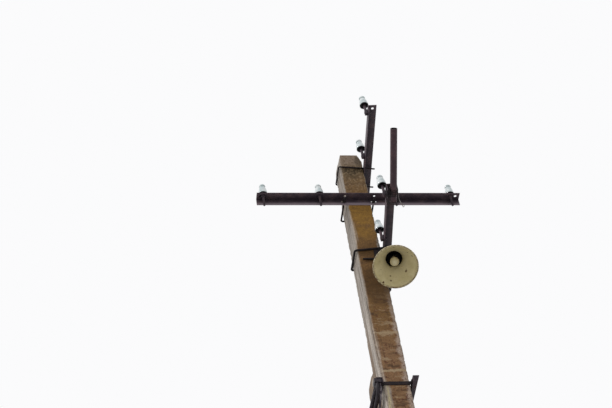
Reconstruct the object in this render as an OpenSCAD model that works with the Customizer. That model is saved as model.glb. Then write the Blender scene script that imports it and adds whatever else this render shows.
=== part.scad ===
// Reinforced concrete line pole with a raking strut, three angle-iron arms
// and a street lamp. Millimetres, +Z up, ground at z = 0.
// X runs along the crossarm and Y runs away from the lamp side, to the strut.

/* [Pole] */
// Height of the pole above the ground
pole_h = 9000; // [8600:10:9400]
// Width of the front face
front_w = 172; // [150:1:190]
// Width of the back face at the top
back_w = 180; // [172:1:200]
// Depth of the section at the top
top_depth = 160; // [140:1:180]
// Depth of the section at the ground
ground_depth = 254; // [220:1:290]
// Chamfer on the two front edges
edge_chamfer = 8; // [4:0.5:14]
// Width of the corner broken off the top
chip_w = 30; // [15:1:45]
// Depth of the broken corner, front to back
chip_d = 45; // [20:1:60]
// Height of the broken corner
chip_h = 85; // [40:1:120]

/* [Strut] */
// Lean of the strut from upright
strut_lean = 23.5; // [20:0.5:27]
// Turn of the strut's lean off the pole's own axis
strut_turn = 8; // [0:0.5:12]
// Drop from the pole's top to the top of the strut
strut_drop = 1905; // [1700:5:2000]
// Width of the strut at its head
strut_w = 150; // [130:1:170]
// Depth of the strut at its head
strut_d = 175; // [150:1:200]
// Growth of each side for each metre down the strut
strut_growth = 7.9; // [4:0.1:10]
// Sideways place of the strut's head
strut_x = 11; // [0:1:20]
// How far the strut's head is let in to the pole's back plane
strut_let_in = 27; // [10:1:40]

/* [Arms] */
// Length of each angle-iron arm
arm_len = 1470; // [1400:5:1600]
// Place of the first pin from the arm's end
first_pin = 48; // [40:1:60]
// Place of the second pin from the same end
second_pin = 450; // [420:1:480]
// Place of the third pin from the same end
third_pin = 995; // [960:1:1010]
// Place of the fourth pin from the other end
last_pin = 66; // [60:1:90]
// Leg of the arm's angle iron
arm_leg = 63; // [56:1:75]
// Thickness of the arm's angle iron
arm_t = 5; // [4:0.5:8]
// Drop from the pole's top to the crossarm
crossarm_drop = 501; // [460:1:540]
// Drop from the pole's top to the upper side arm
upper_arm_drop = 142; // [120:1:170]
// Drop from the pole's top to the lower side arm
lower_arm_drop = 967; // [930:1:1000]
// Reach of the upper arm in front of the pole's corner
upper_arm_reach = 585; // [550:5:620]
// Distance of the lower arm's second pin in front of the pole's corner
lower_pin_out = 85; // [70:1:100]
// Turn of the upper arm off square
upper_arm_turn = 3.9; // [0:0.1:5]
// Turn of the lower arm off square
lower_arm_turn = 5.5; // [0:0.1:7]
// Gap between the lower arm and the pole's front corner
lower_arm_gap = 22; // [15:1:30]
// Length of the packing block behind the lower arm
packing_len = 100; // [70:1:130]
// Height of the packing block
packing_h = 46; // [30:1:55]
// Diameter of the hole at each end of an arm
end_hole_d = 20; // [12:0.5:21]
// Place of that hole from the arm's end
end_hole_inset = 29; // [20:0.5:30]
// Place of the end hole and of upright pins from the heel
flange_gauge = 35; // [30:0.5:40]

/* [Pins and insulators] */
// Diameter of an insulator pin
pin_d = 20; // [16:0.5:22]
// Diameter of the pin's threaded stud
stud_d = 16; // [12:0.5:18]
// Length of stud under the crossarm's flange
crossarm_stud = 104; // [60:1:120]
// Length of stud behind a side arm's upright leg
side_arm_stud = 18; // [16:1:30]
// Height of an insulator's base over the crossarm
crossarm_rise = 12; // [10:1:60]
// Height of an insulator's base over a side arm
side_arm_rise = 58; // [50:1:110]
// Lean of the side arms' pins toward the pole
pin_lean = 3; // [0:0.5:8]
// Height of the flat foot of a side arm's pin
pin_foot = 44; // [42:1:50]
// Height of an insulator
insulator_h = 92; // [80:1:110]
// Diameter of an insulator's skirt
insulator_d = 64; // [56:1:74]
// Length of pin inside an insulator
pin_seat = 46; // [30:1:50]

/* [Bolts and straps] */
// Bar diameter of the upper arm's U-bolt
upper_bolt_d = 11; // [8:0.5:14]
// Bar diameter of the crossarm's U-bolt
crossarm_bolt_d = 13; // [10:0.5:16]
// Bar diameter of the lower arm's U-bolt
lower_bolt_d = 16; // [12:0.5:18]
// Room between the pole's right side and the crossarm's U-bolt
crossarm_bolt_room = 6; // [4:1:24]
// Room between the pole's left side and the crossarm's U-bolt
crossarm_bolt_left = 12; // [4:1:24]
// Length of bolt that stands out past its arm
bolt_tail = 50; // [30:1:70]
// Inside bend radius of the U-bolts
bend_in = 6; // [4:0.5:6.5]
// Slack of the U-bolts round the pole
bolt_slack = 2; // [2:0.5:6]
// Tilt of the upper arm's U-bolt, up toward the arm
upper_bolt_tilt = -5; // [-7:0.5:0]
// Tilt of the lower arm's U-bolt, up toward the arm
lower_bolt_tilt = 7; // [5:0.5:12]

/* [Lamp] */
// Radius of the lamp shade's rim
rim_r = 153; // [130:1:170]
// Depth of the shade
shade_h = 166; // [140:1:190]
// Radius of the shade's neck
neck_r = 53.5; // [45:0.5:60]
// Thickness of the shade's sheet
sheet_t = 2.5; // [1.5:0.1:4]
// Radius of the rolled edge of the rim
bead_r = 4; // [2:0.5:6]
// Drop from the pole's top to the centre of the rim
rim_drop = 1373; // [1340:1:1400]
// Place of the rim's centre along X
rim_x = 109; // [105:1:115]
// Distance of the rim's centre in front of the pole's axis
rim_out = 260; // [250:1:270]
// Tilt of the lamp from upright
lamp_tilt = 25.3; // [20:0.1:30]
// Direction of that tilt, round from X
lamp_turn = 73; // [68:0.5:78]
// Height of the lamp's housing over the neck
housing_h = 104; // [90:1:130]
// Wall of the housing
housing_t = 5; // [3:0.5:8]
// Diameter of the bulb
bulb_d = 62; // [50:1:76]
// Distance from the neck down to the bulb's centre
bulb_drop = 62; // [50:1:70]
// Diameter of the bulb socket
socket_d = 44; // [38:0.5:50]
// Diameter of the pipe that carries the lamp
lamp_pipe_d = 42; // [32:0.5:44]
// Wall of that pipe
lamp_pipe_t = 3.5; // [2.5:0.1:5]
// Length of that pipe from the lamp's axis
lamp_pipe_len = 262; // [230:1:280]
// Direction of that pipe round the lamp's own axis
lamp_pipe_turn = 20.8; // [18:0.2:22]

/* [Old bracket pipe] */
// Diameter of the spare pipe tied to the lower arm
spare_pipe_d = 46; // [42:0.5:50]
// Wall of the spare pipe
spare_pipe_t = 3.5; // [2.5:0.1:5]
// Length of the spare pipe
spare_pipe_len = 507; // [460:1:640]
// Length of it that lies under the arm
spare_pipe_lap = 110; // [100:1:180]
// Slope of the spare pipe
spare_pipe_rise = 22.8; // [15:0.1:28]
// Turn of the spare pipe off the Y axis
spare_pipe_turn = 4; // [0:0.1:6]
// Diameter of the tie wire
tie_d = 4; // [3:0.5:6]

/* [Strut yoke] */
// Leg of the yoke's angle iron
yoke_leg = 40; // [36:1:45]
// Thickness of the yoke's angle iron
yoke_t = 4; // [3:0.5:6]
// Drop from the pole's top to the yoke's underside
yoke_drop = 2218; // [2150:1:2260]
// Gap between the pole and each yoke bar
yoke_gap = 12; // [8:1:16]
// Length of the yoke bars behind their rod
yoke_end = 26; // [20:1:60]
// Length of the yoke bars in front of the pole's axis
yoke_front = 147; // [138:1:160]
// Height of the front strap
strap_h = 26; // [20:1:36]
// Thickness of the front strap
strap_t = 5; // [4:0.5:8]
// Diameter of the rod behind the strut
yoke_rod_d = 14; // [10:0.5:16]
// Gap between that rod and the strut's back
yoke_rod_gap = 2; // [1:0.5:20]

/* [Cables] */
// Diameters of the four cables that run down the strut
cable_d = [26, 15, 22, 13];
// Height of each cable clip
clip_h = 30; // [20:1:50]
// Thickness of the clip's strip
clip_t = 3; // [2:0.5:5]

/* [Hidden] */

$fn = 48;
// Clearance between pieces that are seated on each other
seat = 0.3;
// Overrun of a cutting shape past the face that it cuts
over = 1;

concrete = "#9c8d7c";
old_steel = "#3a2c30";
galvanised = "#77726f";
porcelain = "#e9ebe6";
enamel = "#8b835f";
black = "#1c1a1c";

// Heights above the ground
crossarm_z = pole_h - crossarm_drop;
upper_arm_z = pole_h - upper_arm_drop;
lower_arm_z = pole_h - lower_arm_drop;
yoke_z = pole_h - yoke_drop;
strut_z = pole_h - strut_drop;

// Pole section: the depth grows downwards, the side planes stay
depth_taper = (ground_depth - top_depth) / pole_h;
side_slope = (back_w - front_w) / 2 / top_depth;
function back_y(z) = (top_depth + (pole_h - z) * depth_taper) / 2;
function front_y(z) = -back_y(z);
function side_x(y) = (front_w + back_w) / 4 + y * side_slope;

module pole_blank(grow = 0) {
    half = ground_depth / 2;
    intersection() {
        translate([0, 0, -over])
            linear_extrude(pole_h + over)
                polygon([[-side_x(-half) - grow, -half], [side_x(-half) + grow, -half],
                         [side_x(half) + grow, half], [-side_x(half) - grow, half]]);
        rotate([90, 0, 90])
            translate([0, 0, -back_w])
                linear_extrude(2 * back_w)
                    polygon([[front_y(0) - grow, 0], [back_y(0) + grow, 0],
                             [back_y(pole_h) + grow, pole_h], [front_y(pole_h) - grow, pole_h]]);
    }
}

// One chamfered front edge: a square bar laid along the edge, corner outwards
module edge_cut(side) {
    foot = [side * side_x(front_y(0)), front_y(0), 0];
    run = [side * (side_x(front_y(pole_h)) - side_x(front_y(0))), front_y(pole_h) - front_y(0)];
    bar = edge_chamfer * sqrt(2);
    translate(foot)
        rotate([-atan2(run[1], pole_h), atan2(run[0], pole_h), 0])
            rotate(45)
                translate([-bar / 2, -bar / 2, -over])
                    cube([bar, bar, pole_h + 20 * over]);
}

module broken_corner() {
    slope = [1 / chip_w, -1 / chip_d, 1 / chip_h];
    flat = norm([slope[0], slope[1]]);
    reach = 2 * max(chip_w, chip_d, chip_h);
    translate([side_x(front_y(pole_h)), front_y(pole_h), pole_h])
        rotate([0, -atan2(slope[2], flat), atan2(slope[1], slope[0])])
            translate([-1 / norm(slope), -reach, -reach])
                cube(2 * reach);
}

module pole_shaft() {
    color(concrete)
        difference() {
            pole_blank();
            edge_cut(1);
            edge_cut(-1);
            broken_corner();
        }
}

// Strut: a tapered square prism on its own axis, cut level at head and ground
strut_growth_each = strut_growth / 1000;
strut_run = strut_z / cos(strut_lean);
strut_y = back_y(strut_z) - strut_let_in + strut_d / 2 / cos(strut_lean);
function strut_half(width, down) = (width + strut_growth_each * down) / 2;

module at_strut_head() {
    translate([strut_x, strut_y, strut_z])
        rotate([strut_lean, 0, strut_turn])
            children();
}

// The prism runs from above the head to below the ground along local -Z
module strut_blank(grow = 0) {
    above = strut_d;
    below = strut_run + strut_d;
    at_strut_head()
        intersection() {
            rotate([90, 0, 0])
                translate([0, 0, -strut_d * 2])
                    linear_extrude(strut_d * 4)
                        polygon([[-strut_half(strut_w, -above) - grow, above],
                                 [strut_half(strut_w, -above) + grow, above],
                                 [strut_half(strut_w, below) + grow, -below],
                                 [-strut_half(strut_w, below) - grow, -below]]);
            rotate([90, 0, 90])
                translate([0, 0, -strut_d * 2])
                    linear_extrude(strut_d * 4)
                        polygon([[-strut_half(strut_d, -above) - grow, above],
                                 [strut_half(strut_d, -above) + grow, above],
                                 [strut_half(strut_d, below) + grow, -below],
                                 [-strut_half(strut_d, below) - grow, -below]]);
        }
}

module strut() {
    reach = strut_z;
    color(concrete)
        difference() {
            strut_blank();
            translate([-reach, -reach, strut_z])
                cube(2 * reach);
            translate([-reach, -reach, -2 * reach])
                cube([2 * reach, 3 * reach, 2 * reach]);
            pole_blank(seat);
        }
}

// The pins' places from the arm's first end, and from its other end
pin_places = [first_pin, second_pin, third_pin, arm_len - last_pin];
function turned_round(places) = [for (i = [len(places) - 1:-1:0]) arm_len - places[i]];
lower_arm_reach = turned_round(pin_places)[1] + lower_pin_out;

module at_crossarm() {
    translate([-arm_len / 2, front_y(crossarm_z) - seat - arm_leg * depth_taper / 2, crossarm_z])
        children();
}

// A side arm lies along the pole's right face, its heel off the front corner
module at_side_arm(z, gap, turn, reach) {
    corner_y = front_y(z) + edge_chamfer;
    translate([side_x(corner_y) + gap, corner_y, z])
        rotate(90 - turn)
            translate([-reach, 0, 0])
                children();
}

upper_arm_gap = 2 * seat;

module at_upper_arm() {
    at_side_arm(upper_arm_z, upper_arm_gap, upper_arm_turn, upper_arm_reach) children();
}

module at_lower_arm() {
    at_side_arm(lower_arm_z, lower_arm_gap, lower_arm_turn, lower_arm_reach) children();
}

// Angle iron along +X, heel on the X axis, one leg to -Y and one leg down
module angle_iron(length, leg, thick) {
    translate([0, -leg, -thick])
        cube([length, leg, thick]);
    translate([0, -thick, -leg])
        cube([length, thick, leg]);
}

// An arm with its pin holes, in the flange or in the upright leg, and the
// holes at its ends
foot_bolt_z = -26;
module arm_bar(places, in_leg) {
    difference() {
        angle_iron(arm_len, arm_leg, arm_t);
        for (x = places)
            translate([x, in_leg ? over : -flange_gauge, in_leg ? foot_bolt_z : over])
                rotate([in_leg ? 90 : 180, 0, 0])
                    cylinder(h = arm_t + 2 * over, d = stud_d + 1);
        for (x = [end_hole_inset, arm_len - end_hole_inset])
            translate([x, -flange_gauge, -arm_t - over])
                cylinder(h = arm_t + 2 * over, d = end_hole_d);
    }
}

module hex_nut(size, thick) {
    cylinder(h = thick, d = size * 1.73, $fn = 6);
}

// U-bolt in the XY plane: legs along -X at y = +-span/2, bend at x = 0.
// The bends are a hair thicker than the bar, and the bar runs on into them.
module u_bolt(bar, span, leg_a, leg_b) {
    bend_r = bend_in + bar / 2;
    straight = span - 2 * bend_r;
    swell = 0.2;
    lap = 1;
    rotate([90, 0, 0])
        cylinder(h = straight + 2 * lap, d = bar, center = true);
    for (side = [-1, 1])
        translate([-bend_r, side * straight / 2, 0])
            rotate(side > 0 ? 0 : -90)
                rotate_extrude(angle = 90)
                    translate([bend_r, 0])
                        circle(d = bar + swell);
    for (leg = [[-1, leg_a], [1, leg_b]])
        translate([lap - bend_r, leg[0] * span / 2, 0])
            rotate([0, -90, 0])
                cylinder(h = leg[1] - bend_r + lap, d = bar);
}

// Washer and nut on one leg of a U-bolt, their seat at x = -at
washer_d = 2.2;
module u_bolt_nut(bar, side, span, at) {
    translate([-at, side * span / 2, 0])
        rotate([0, -90, 0]) {
            cylinder(h = bar * 0.2, d = bar * washer_d);
            translate([0, 0, bar * 0.2 - seat])
                hex_nut(bar, bar * 0.8);
        }
}

// Crossarm U-bolt: round the pole's back, nuts on the front of the upright leg
crossarm_bolt_z = crossarm_z - arm_leg * 0.68;
crossarm_bolt_y = back_y(crossarm_bolt_z) + bolt_slack + crossarm_bolt_d / 2;
crossarm_face = front_y(crossarm_z) - seat - arm_leg * depth_taper / 2 - arm_t;
crossarm_bolt_leg = crossarm_bolt_y - crossarm_face + bolt_tail;
crossarm_bolt_x = (crossarm_bolt_room - crossarm_bolt_left) / 2;
crossarm_bolt_span = 2 * (side_x(back_y(0)) + seat) + crossarm_bolt_d
    + crossarm_bolt_room + crossarm_bolt_left;
// Spare holes through the upright leg, and through the flange, on both sides of the pole
spare_holes = [-122, 92, 123];
spare_hole_d = 12;
spare_flange_holes = [-101, 111];
spare_flange_hole_d = 16;

module at_crossarm_bolt() {
    translate([crossarm_bolt_x, crossarm_bolt_y, crossarm_bolt_z])
        rotate(90)
            children();
}

module crossarm() {
    color(old_steel)
        difference() {
            at_crossarm() arm_bar(pin_places, false);
            at_crossarm_bolt()
                for (side = [-1, 1])
                    translate([-crossarm_bolt_leg - over, side * crossarm_bolt_span / 2, 0])
                        rotate([0, 90, 0])
                            cylinder(h = bolt_tail + arm_t * 3, d = crossarm_bolt_d + 2 * seat);
            at_crossarm()
                for (x = spare_holes)
                    translate([arm_len / 2 + x, over, -arm_leg * 0.46])
                        rotate([90, 0, 0])
                            cylinder(h = arm_t + 2 * over, d = spare_hole_d);
            at_crossarm()
                for (x = spare_flange_holes)
                    translate([arm_len / 2 + x, -flange_gauge, -arm_t - over])
                        cylinder(h = arm_t + 2 * over, d = spare_flange_hole_d);
        }
}

module crossarm_u_bolt() {
    color(galvanised)
        at_crossarm_bolt() {
            u_bolt(crossarm_bolt_d, crossarm_bolt_span, crossarm_bolt_leg, crossarm_bolt_leg);
            for (side = [-1, 1])
                u_bolt_nut(crossarm_bolt_d, side, crossarm_bolt_span,
                           crossarm_bolt_y - crossarm_face + seat);
        }
}

// Side arm U-bolts: round the pole's left face, nuts inside the arm
function side_bolt_x(bar) = -side_x(back_y(lower_arm_z)) - bolt_slack - bar / 2;
function side_bolt_z(z, bar, tilt, x) = z + (x - side_bolt_x(bar)) * tan(tilt);

module at_side_bolt(z, bar, tilt) {
    translate([side_bolt_x(bar), 0, z])
        rotate([0, tilt, 180])
            children();
}

// Inner face of a side arm's upright leg, at the depth y of a bolt's leg
function arm_inner_x(z, gap, turn, y) =
    side_x(front_y(z) + edge_chamfer) + gap + (y - front_y(z) - edge_chamfer) * tan(turn)
    + arm_t / cos(turn);

// A bolt's height at the pole's left side, from its drop below the arm's heel
function side_bolt_start(arm_z, gap, turn, bar, tilt, drop) =
    arm_z - drop - (arm_inner_x(arm_z, gap, turn, front_y(arm_z)) - side_bolt_x(bar)) * tan(tilt);

// The upper bolt's washer just clears the flange; the lower one is low in the leg
upper_bolt_z = side_bolt_start(upper_arm_z, upper_arm_gap, upper_arm_turn, upper_bolt_d,
                               upper_bolt_tilt, arm_t + upper_bolt_d * washer_d / 2 + 2.5);
upper_bolt_span = 2 * (back_y(upper_bolt_z) + bolt_slack) + upper_bolt_d;
lower_bolt_z = side_bolt_start(lower_arm_z, lower_arm_gap, lower_arm_turn, lower_bolt_d,
                               lower_bolt_tilt, arm_leg * 0.79);
lower_bolt_span = 2 * (back_y(lower_bolt_z) + bolt_slack) + lower_bolt_d;

// Length of leg to a washer that tilts against that face and just clears it
function leg_to_face(x, bar, turn, tilt) =
    (x - side_bolt_x(bar)) / cos(tilt) + bar * washer_d / 2 * (tan(abs(tilt)) + tan(turn)) + seat;

module side_bolt(z, arm_z, bar, span, gap, turn, tilt, tail) {
    front = leg_to_face(arm_inner_x(arm_z, gap, turn, -span / 2), bar, turn, tilt);
    back = leg_to_face(arm_inner_x(arm_z, gap, turn, span / 2), bar, turn, tilt);
    at_side_bolt(z, bar, tilt) {
        u_bolt(bar, span, back + tail, front + tail);
        u_bolt_nut(bar, 1, span, front);
        u_bolt_nut(bar, -1, span, back);
    }
}

// Holes for the legs of a side arm's U-bolt, along the legs
module side_bolt_holes(z, bar, span, tilt) {
    at_side_bolt(z, bar, tilt)
        for (side = [-1, 1])
            translate([-side_x(0) * 4, side * span / 2, 0])
                rotate([0, 90, 0])
                    cylinder(h = side_x(0) * 3, d = bar + 2 * seat);
}

module upper_arm() {
    color(old_steel)
        difference() {
            at_upper_arm() arm_bar(pin_places, true);
            side_bolt_holes(upper_bolt_z, upper_bolt_d, upper_bolt_span, upper_bolt_tilt);
        }
}

module upper_arm_u_bolt() {
    color(galvanised)
        side_bolt(upper_bolt_z, upper_arm_z, upper_bolt_d, upper_bolt_span,
                  upper_arm_gap, upper_arm_turn, upper_bolt_tilt, bolt_tail * 1.5);
}

module lower_arm() {
    color(old_steel)
        difference() {
            at_lower_arm() arm_bar(turned_round(pin_places), true);
            side_bolt_holes(lower_bolt_z, lower_bolt_d, lower_bolt_span, lower_bolt_tilt);
        }
}

module lower_arm_u_bolt() {
    color(old_steel)
        side_bolt(lower_bolt_z, lower_arm_z, lower_bolt_d, lower_bolt_span,
                  lower_arm_gap, lower_arm_turn, lower_bolt_tilt, bolt_tail * 0.7);
}

module lower_arm_packing() {
    color(galvanised)
        difference() {
            at_lower_arm()
                translate([lower_arm_reach + (top_depth - packing_len) / 2 - edge_chamfer, seat,
                           -arm_leg / 2 - packing_h / 2])
                    cube([packing_len, 3 * lower_arm_gap, packing_h]);
            pole_blank(seat);
        }
}

// A crossarm pin: stud and nut under the flange, collar and shank above it
collar_h = 6;
module flange_pin() {
    translate([0, 0, -crossarm_stud])
        cylinder(h = crossarm_stud + collar_h / 2, d = stud_d);
    translate([0, 0, -arm_t - stud_d * 0.8 - seat])
        hex_nut(stud_d, stud_d * 0.8);
    translate([0, 0, seat])
        cylinder(h = collar_h, d = stud_d * 1.8);
    translate([0, 0, collar_h / 2])
        cylinder(h = crossarm_rise + pin_seat - collar_h / 2, d = pin_d);
}

// A side arm pin: a flat foot bolted to the outer face of the upright leg, and
// a shank that leans toward the pole
foot_wall = 1;
foot_w = pin_d + 4;
foot_d = pin_d + 2 * foot_wall;
shank_in_foot = pin_foot / 4;
module at_side_shank() {
    translate([0, seat + foot_d / 2, -shank_in_foot])
        rotate([-pin_lean, 0, 0])
            children();
}

module side_pin() {
    translate([-foot_w / 2, seat, -pin_foot])
        cube([foot_w, foot_d, pin_foot]);
    translate([0, seat + foot_d / 2, foot_bolt_z])
        rotate([90, 0, 0])
            cylinder(h = foot_d / 2 + seat + arm_t + side_arm_stud, d = stud_d);
    translate([0, -arm_t - seat, foot_bolt_z])
        rotate([90, 0, 0])
            hex_nut(stud_d, stud_d * 0.8);
    at_side_shank()
        cylinder(h = shank_in_foot + side_arm_rise + pin_seat, d = pin_d);
}

// Porcelain pin insulator standing on z = 0: bell, wire groove and cap
module pin_insulator() {
    r = insulator_d / 2;
    h = insulator_h;
    hole = pin_d / 2 + seat;
    color(porcelain)
        rotate_extrude()
            polygon([[r * 0.86, 0], [r, 0], [r, h * 0.1], [r * 0.95, h * 0.28],
                     [r * 0.87, h * 0.44], [r * 0.79, h * 0.58], [r * 0.72, h * 0.67],
                     [r * 0.58, h * 0.72], [r * 0.58, h * 0.78], [r * 0.7, h * 0.83],
                     [r * 0.69, h * 0.93], [r * 0.46, h * 0.99], [0, h],
                     [0, pin_seat + seat], [hole, pin_seat + seat],
                     [hole, h * 0.32], [r * 0.52, h * 0.3]]);
}

module crossarm_pins() {
    color(old_steel)
        at_crossarm()
            for (x = pin_places)
                translate([x, -flange_gauge, 0]) flange_pin();
}

module upper_arm_pins() {
    color(old_steel)
        at_upper_arm()
            for (x = pin_places)
                translate([x, 0, 0]) side_pin();
}

module lower_arm_pins() {
    color(old_steel)
        at_lower_arm()
            for (x = turned_round(pin_places))
                translate([x, 0, 0]) side_pin();
}

module side_insulator(x) {
    translate([x, 0, 0])
        at_side_shank()
            translate([0, 0, shank_in_foot + side_arm_rise])
                pin_insulator();
}

module arm_insulator(arm, i) {
    if (arm == "crossarm")
        at_crossarm()
            translate([pin_places[i - 1], -flange_gauge, crossarm_rise])
                pin_insulator();
    if (arm == "upper_arm")
        at_upper_arm() side_insulator(pin_places[i - 1]);
    if (arm == "lower_arm")
        at_lower_arm() side_insulator(turned_round(pin_places)[i - 1]);
}

// Spare pipe: its lap ends at the lower arm's near end, just under the flange
pipe_gauge = arm_leg * 0.72;
module at_spare_pipe() {
    drop = arm_t + spare_pipe_d / 2 / cos(spare_pipe_rise) + seat;
    at_lower_arm()
        translate([0, -pipe_gauge, -drop])
            rotate(180 - spare_pipe_turn + lower_arm_turn)
                rotate([0, -spare_pipe_rise, 0])
                    children();
}

module spare_pipe() {
    color(old_steel)
        at_spare_pipe()
            translate([-spare_pipe_lap, 0, 0])
                rotate([0, 90, 0])
                    difference() {
                        cylinder(h = spare_pipe_len, d = spare_pipe_d);
                        translate([0, 0, -over])
                            cylinder(h = spare_pipe_len + 2 * over,
                                     d = spare_pipe_d - 2 * spare_pipe_t);
                    }
}

// Tie wire: square turns round the arm's end and the pipe under it, on both
// sides of the arm's first pin
tie_places = [6, 18, 30, 42, last_pin + 17, last_pin + 29];
module pipe_lashing() {
    wide = pipe_gauge + spare_pipe_d / 2 + 4 * seat;
    color(old_steel)
        for (x = tie_places) {
            sag = (x + tie_d) * tan(spare_pipe_rise);
            deep = max(arm_leg, arm_t + spare_pipe_d / cos(spare_pipe_rise) + sag) + 2 * seat;
            at_lower_arm()
                translate([x, -wide - tie_d + seat, -deep - tie_d + seat])
                    difference() {
                        cube([tie_d, wide + 2 * tie_d, deep + 2 * tie_d]);
                        translate([-over, tie_d, tie_d])
                            cube([tie_d + 2 * over, wide, deep]);
                    }
        }
}

// Lamp: local z = 0 at the rim, +Z up the lamp's axis
housing_r = neck_r + 8;
pipe_axis_z = shade_h + 60;
inner_top = shade_h + 68;

module at_lamp() {
    translate([rim_x, -rim_out, pole_h - rim_drop])
        rotate([0, lamp_tilt, lamp_turn])
            children();
}

module at_lamp_pipe() {
    at_lamp()
        translate([0, 0, pipe_axis_z])
            rotate([0, 0, lamp_pipe_turn])
                rotate([0, 90, 0])
                    children();
}

module lamp_shade() {
    slant = atan2(rim_r - neck_r, shade_h);
    across = sheet_t / cos(slant);
    color(enamel)
        at_lamp()
            rotate_extrude($fn = 96)
                union() {
                    polygon([[rim_r - bead_r - across, bead_r], [rim_r - bead_r, bead_r],
                             [neck_r + across, shade_h - 4], [neck_r + across, shade_h],
                             [neck_r, shade_h]]);
                    translate([rim_r - bead_r, bead_r])
                        circle(r = bead_r);
                }
}

module lamp_housing() {
    low = shade_h + seat;
    top = shade_h + housing_h;
    color(enamel)
        difference() {
            union() {
                at_lamp()
                    rotate_extrude()
                        polygon([[0, low], [housing_r, low], [housing_r, top - 34],
                                 [housing_r - 8, top - 16], [housing_r * 0.5, top - 2],
                                 [0, top]]);
                at_lamp_pipe()
                    cylinder(h = housing_r + 26, d = lamp_pipe_d + 14);
            }
            at_lamp()
                translate([0, 0, low - over])
                    cylinder(h = inner_top - low + over, r = housing_r - housing_t);
            at_lamp_pipe()
                cylinder(h = housing_r + 26 + over, d = lamp_pipe_d + 2 * seat);
        }
}

module lamp_socket() {
    low = shade_h + 10;
    color(black)
        at_lamp()
            difference() {
                translate([0, 0, low])
                    cylinder(h = inner_top - low - seat, d = socket_d);
                translate([0, 0, low - over])
                    cylinder(h = 20 + over, d = 26 + 2 * seat);
            }
}

module lamp_bulb() {
    centre = shade_h - bulb_drop;
    color(porcelain)
        at_lamp() {
            translate([0, 0, centre])
                sphere(d = bulb_d);
            translate([0, 0, centre + bulb_d * 0.32])
                cylinder(h = shade_h - centre - bulb_d * 0.32, r1 = bulb_d * 0.385, r2 = 15);
            translate([0, 0, shade_h - over])
                cylinder(h = 10 + 18 + over, d = 26);
        }
}

module lamp_pipe() {
    start = housing_r - housing_t + 1;
    color(old_steel)
        at_lamp_pipe()
            translate([0, 0, start])
                difference() {
                    cylinder(h = lamp_pipe_len - start, d = lamp_pipe_d);
                    translate([0, 0, -over])
                        cylinder(h = lamp_pipe_len - start + 2 * over,
                                 d = lamp_pipe_d - 2 * lamp_pipe_t);
                }
}

// Two clamps hold the lamp's pipe against the pole's right face
clamp_places = [164, 236];
clamp_len = 30;
clamp_h = 104;
// Turn about the pipe that points a clamp's block at the pole
lamp_clamp_roll = 90;

module lamp_pipe_clamps() {
    color(galvanised)
        difference() {
            for (at = clamp_places)
                at_lamp_pipe()
                    translate([0, 0, at - clamp_len / 2]) {
                        cylinder(h = clamp_len, d = lamp_pipe_d + 10);
                        rotate(lamp_clamp_roll)
                            translate([0, -clamp_h / 2, 0])
                                cube([lamp_pipe_d + 20, clamp_h, clamp_len]);
                    }
            pole_blank(seat);
            at_lamp_pipe()
                cylinder(h = lamp_pipe_len + over, d = lamp_pipe_d + seat);
        }
}

// Anchor clamp: lies along the front face, its right end at a hanger plate
// that is hooked under the lower U-bolt
anchor_z = lower_bolt_z - 82;
anchor_len = 86;
anchor_d = 18;
anchor_x = 31;
plate_w = 46;
plate_t = 8;
plate_h = 150;

module anchor_clamp() {
    y = front_y(anchor_z) - 2 * seat - anchor_d / 2;
    color(black)
        translate([anchor_x, y, anchor_z])
            rotate([0, -90, 0])
                cylinder(h = anchor_len, d1 = anchor_d, d2 = anchor_d * 0.7);
}

module anchor_bail() {
    left = anchor_x + seat;
    right = left + plate_w;
    under = lower_bolt_d / 2 / cos(lower_bolt_tilt) + seat;
    start = side_bolt_z(lower_bolt_z, lower_bolt_d, lower_bolt_tilt, left) - under;
    end = side_bolt_z(lower_bolt_z, lower_bolt_d, lower_bolt_tilt, right) - under;
    low = start - plate_h;
    color(galvanised)
        translate([0, front_y(low) - seat, 0])
            rotate([90, 0, 0])
                linear_extrude(plate_t)
                    polygon([[left, low], [right, low], [right, end], [left, start]]);
}

// Strut yoke: two angle bars beside pole and strut, a strap in front, a rod behind.
// The left bar lies close to the pole and turns out toward the strut's corner.
yoke_x = side_x(front_y(yoke_z)) + yoke_gap;
left_bar_gap = yoke_gap / 2;
left_bar_x = side_x(front_y(yoke_z)) + left_bar_gap;
left_bar_y = -yoke_front + 12;
strut_back = strut_side(-1, yoke_z - yoke_leg, 1, 1);
left_bar_turn = max(0, atan2(-strut_back[0] - left_bar_x, strut_back[1] - left_bar_y));
yoke_rod_z = yoke_z - yoke_leg * 0.42;
yoke_rod_y = strut_side(1, yoke_rod_z - yoke_rod_d / 2, 1, 0)[1] + yoke_rod_gap + yoke_rod_d / 2;
yoke_back = yoke_rod_y + yoke_end;
function left_bar_face(y) = -left_bar_x - (y - left_bar_y) * tan(left_bar_turn);
rod_hole_d = yoke_rod_d + 1;

module yoke_bar_right() {
    color(old_steel)
        translate([yoke_x, -yoke_front, yoke_z])
            yoke_angle(yoke_front + yoke_back);
}

module at_yoke_bar_left() {
    translate([-left_bar_x, left_bar_y, yoke_z])
        rotate(left_bar_turn)
            children();
}

module yoke_bar_left() {
    color(old_steel)
        at_yoke_bar_left()
            mirror([1, 0, 0])
                yoke_angle(yoke_back - left_bar_y);
}

// Angle bar along +Y: upright leg down on x = 0, flat leg outwards on top
module yoke_angle(length) {
    difference() {
        union() {
            translate([0, 0, yoke_t - yoke_leg])
                cube([yoke_t, length, yoke_leg]);
            cube([yoke_leg, length, yoke_t]);
        }
        translate([-over, length - yoke_back + yoke_rod_y, yoke_rod_z - yoke_z])
            rotate([0, 90, 0])
                cylinder(h = yoke_t + 2 * over, d = rod_hole_d);
    }
}

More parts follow.
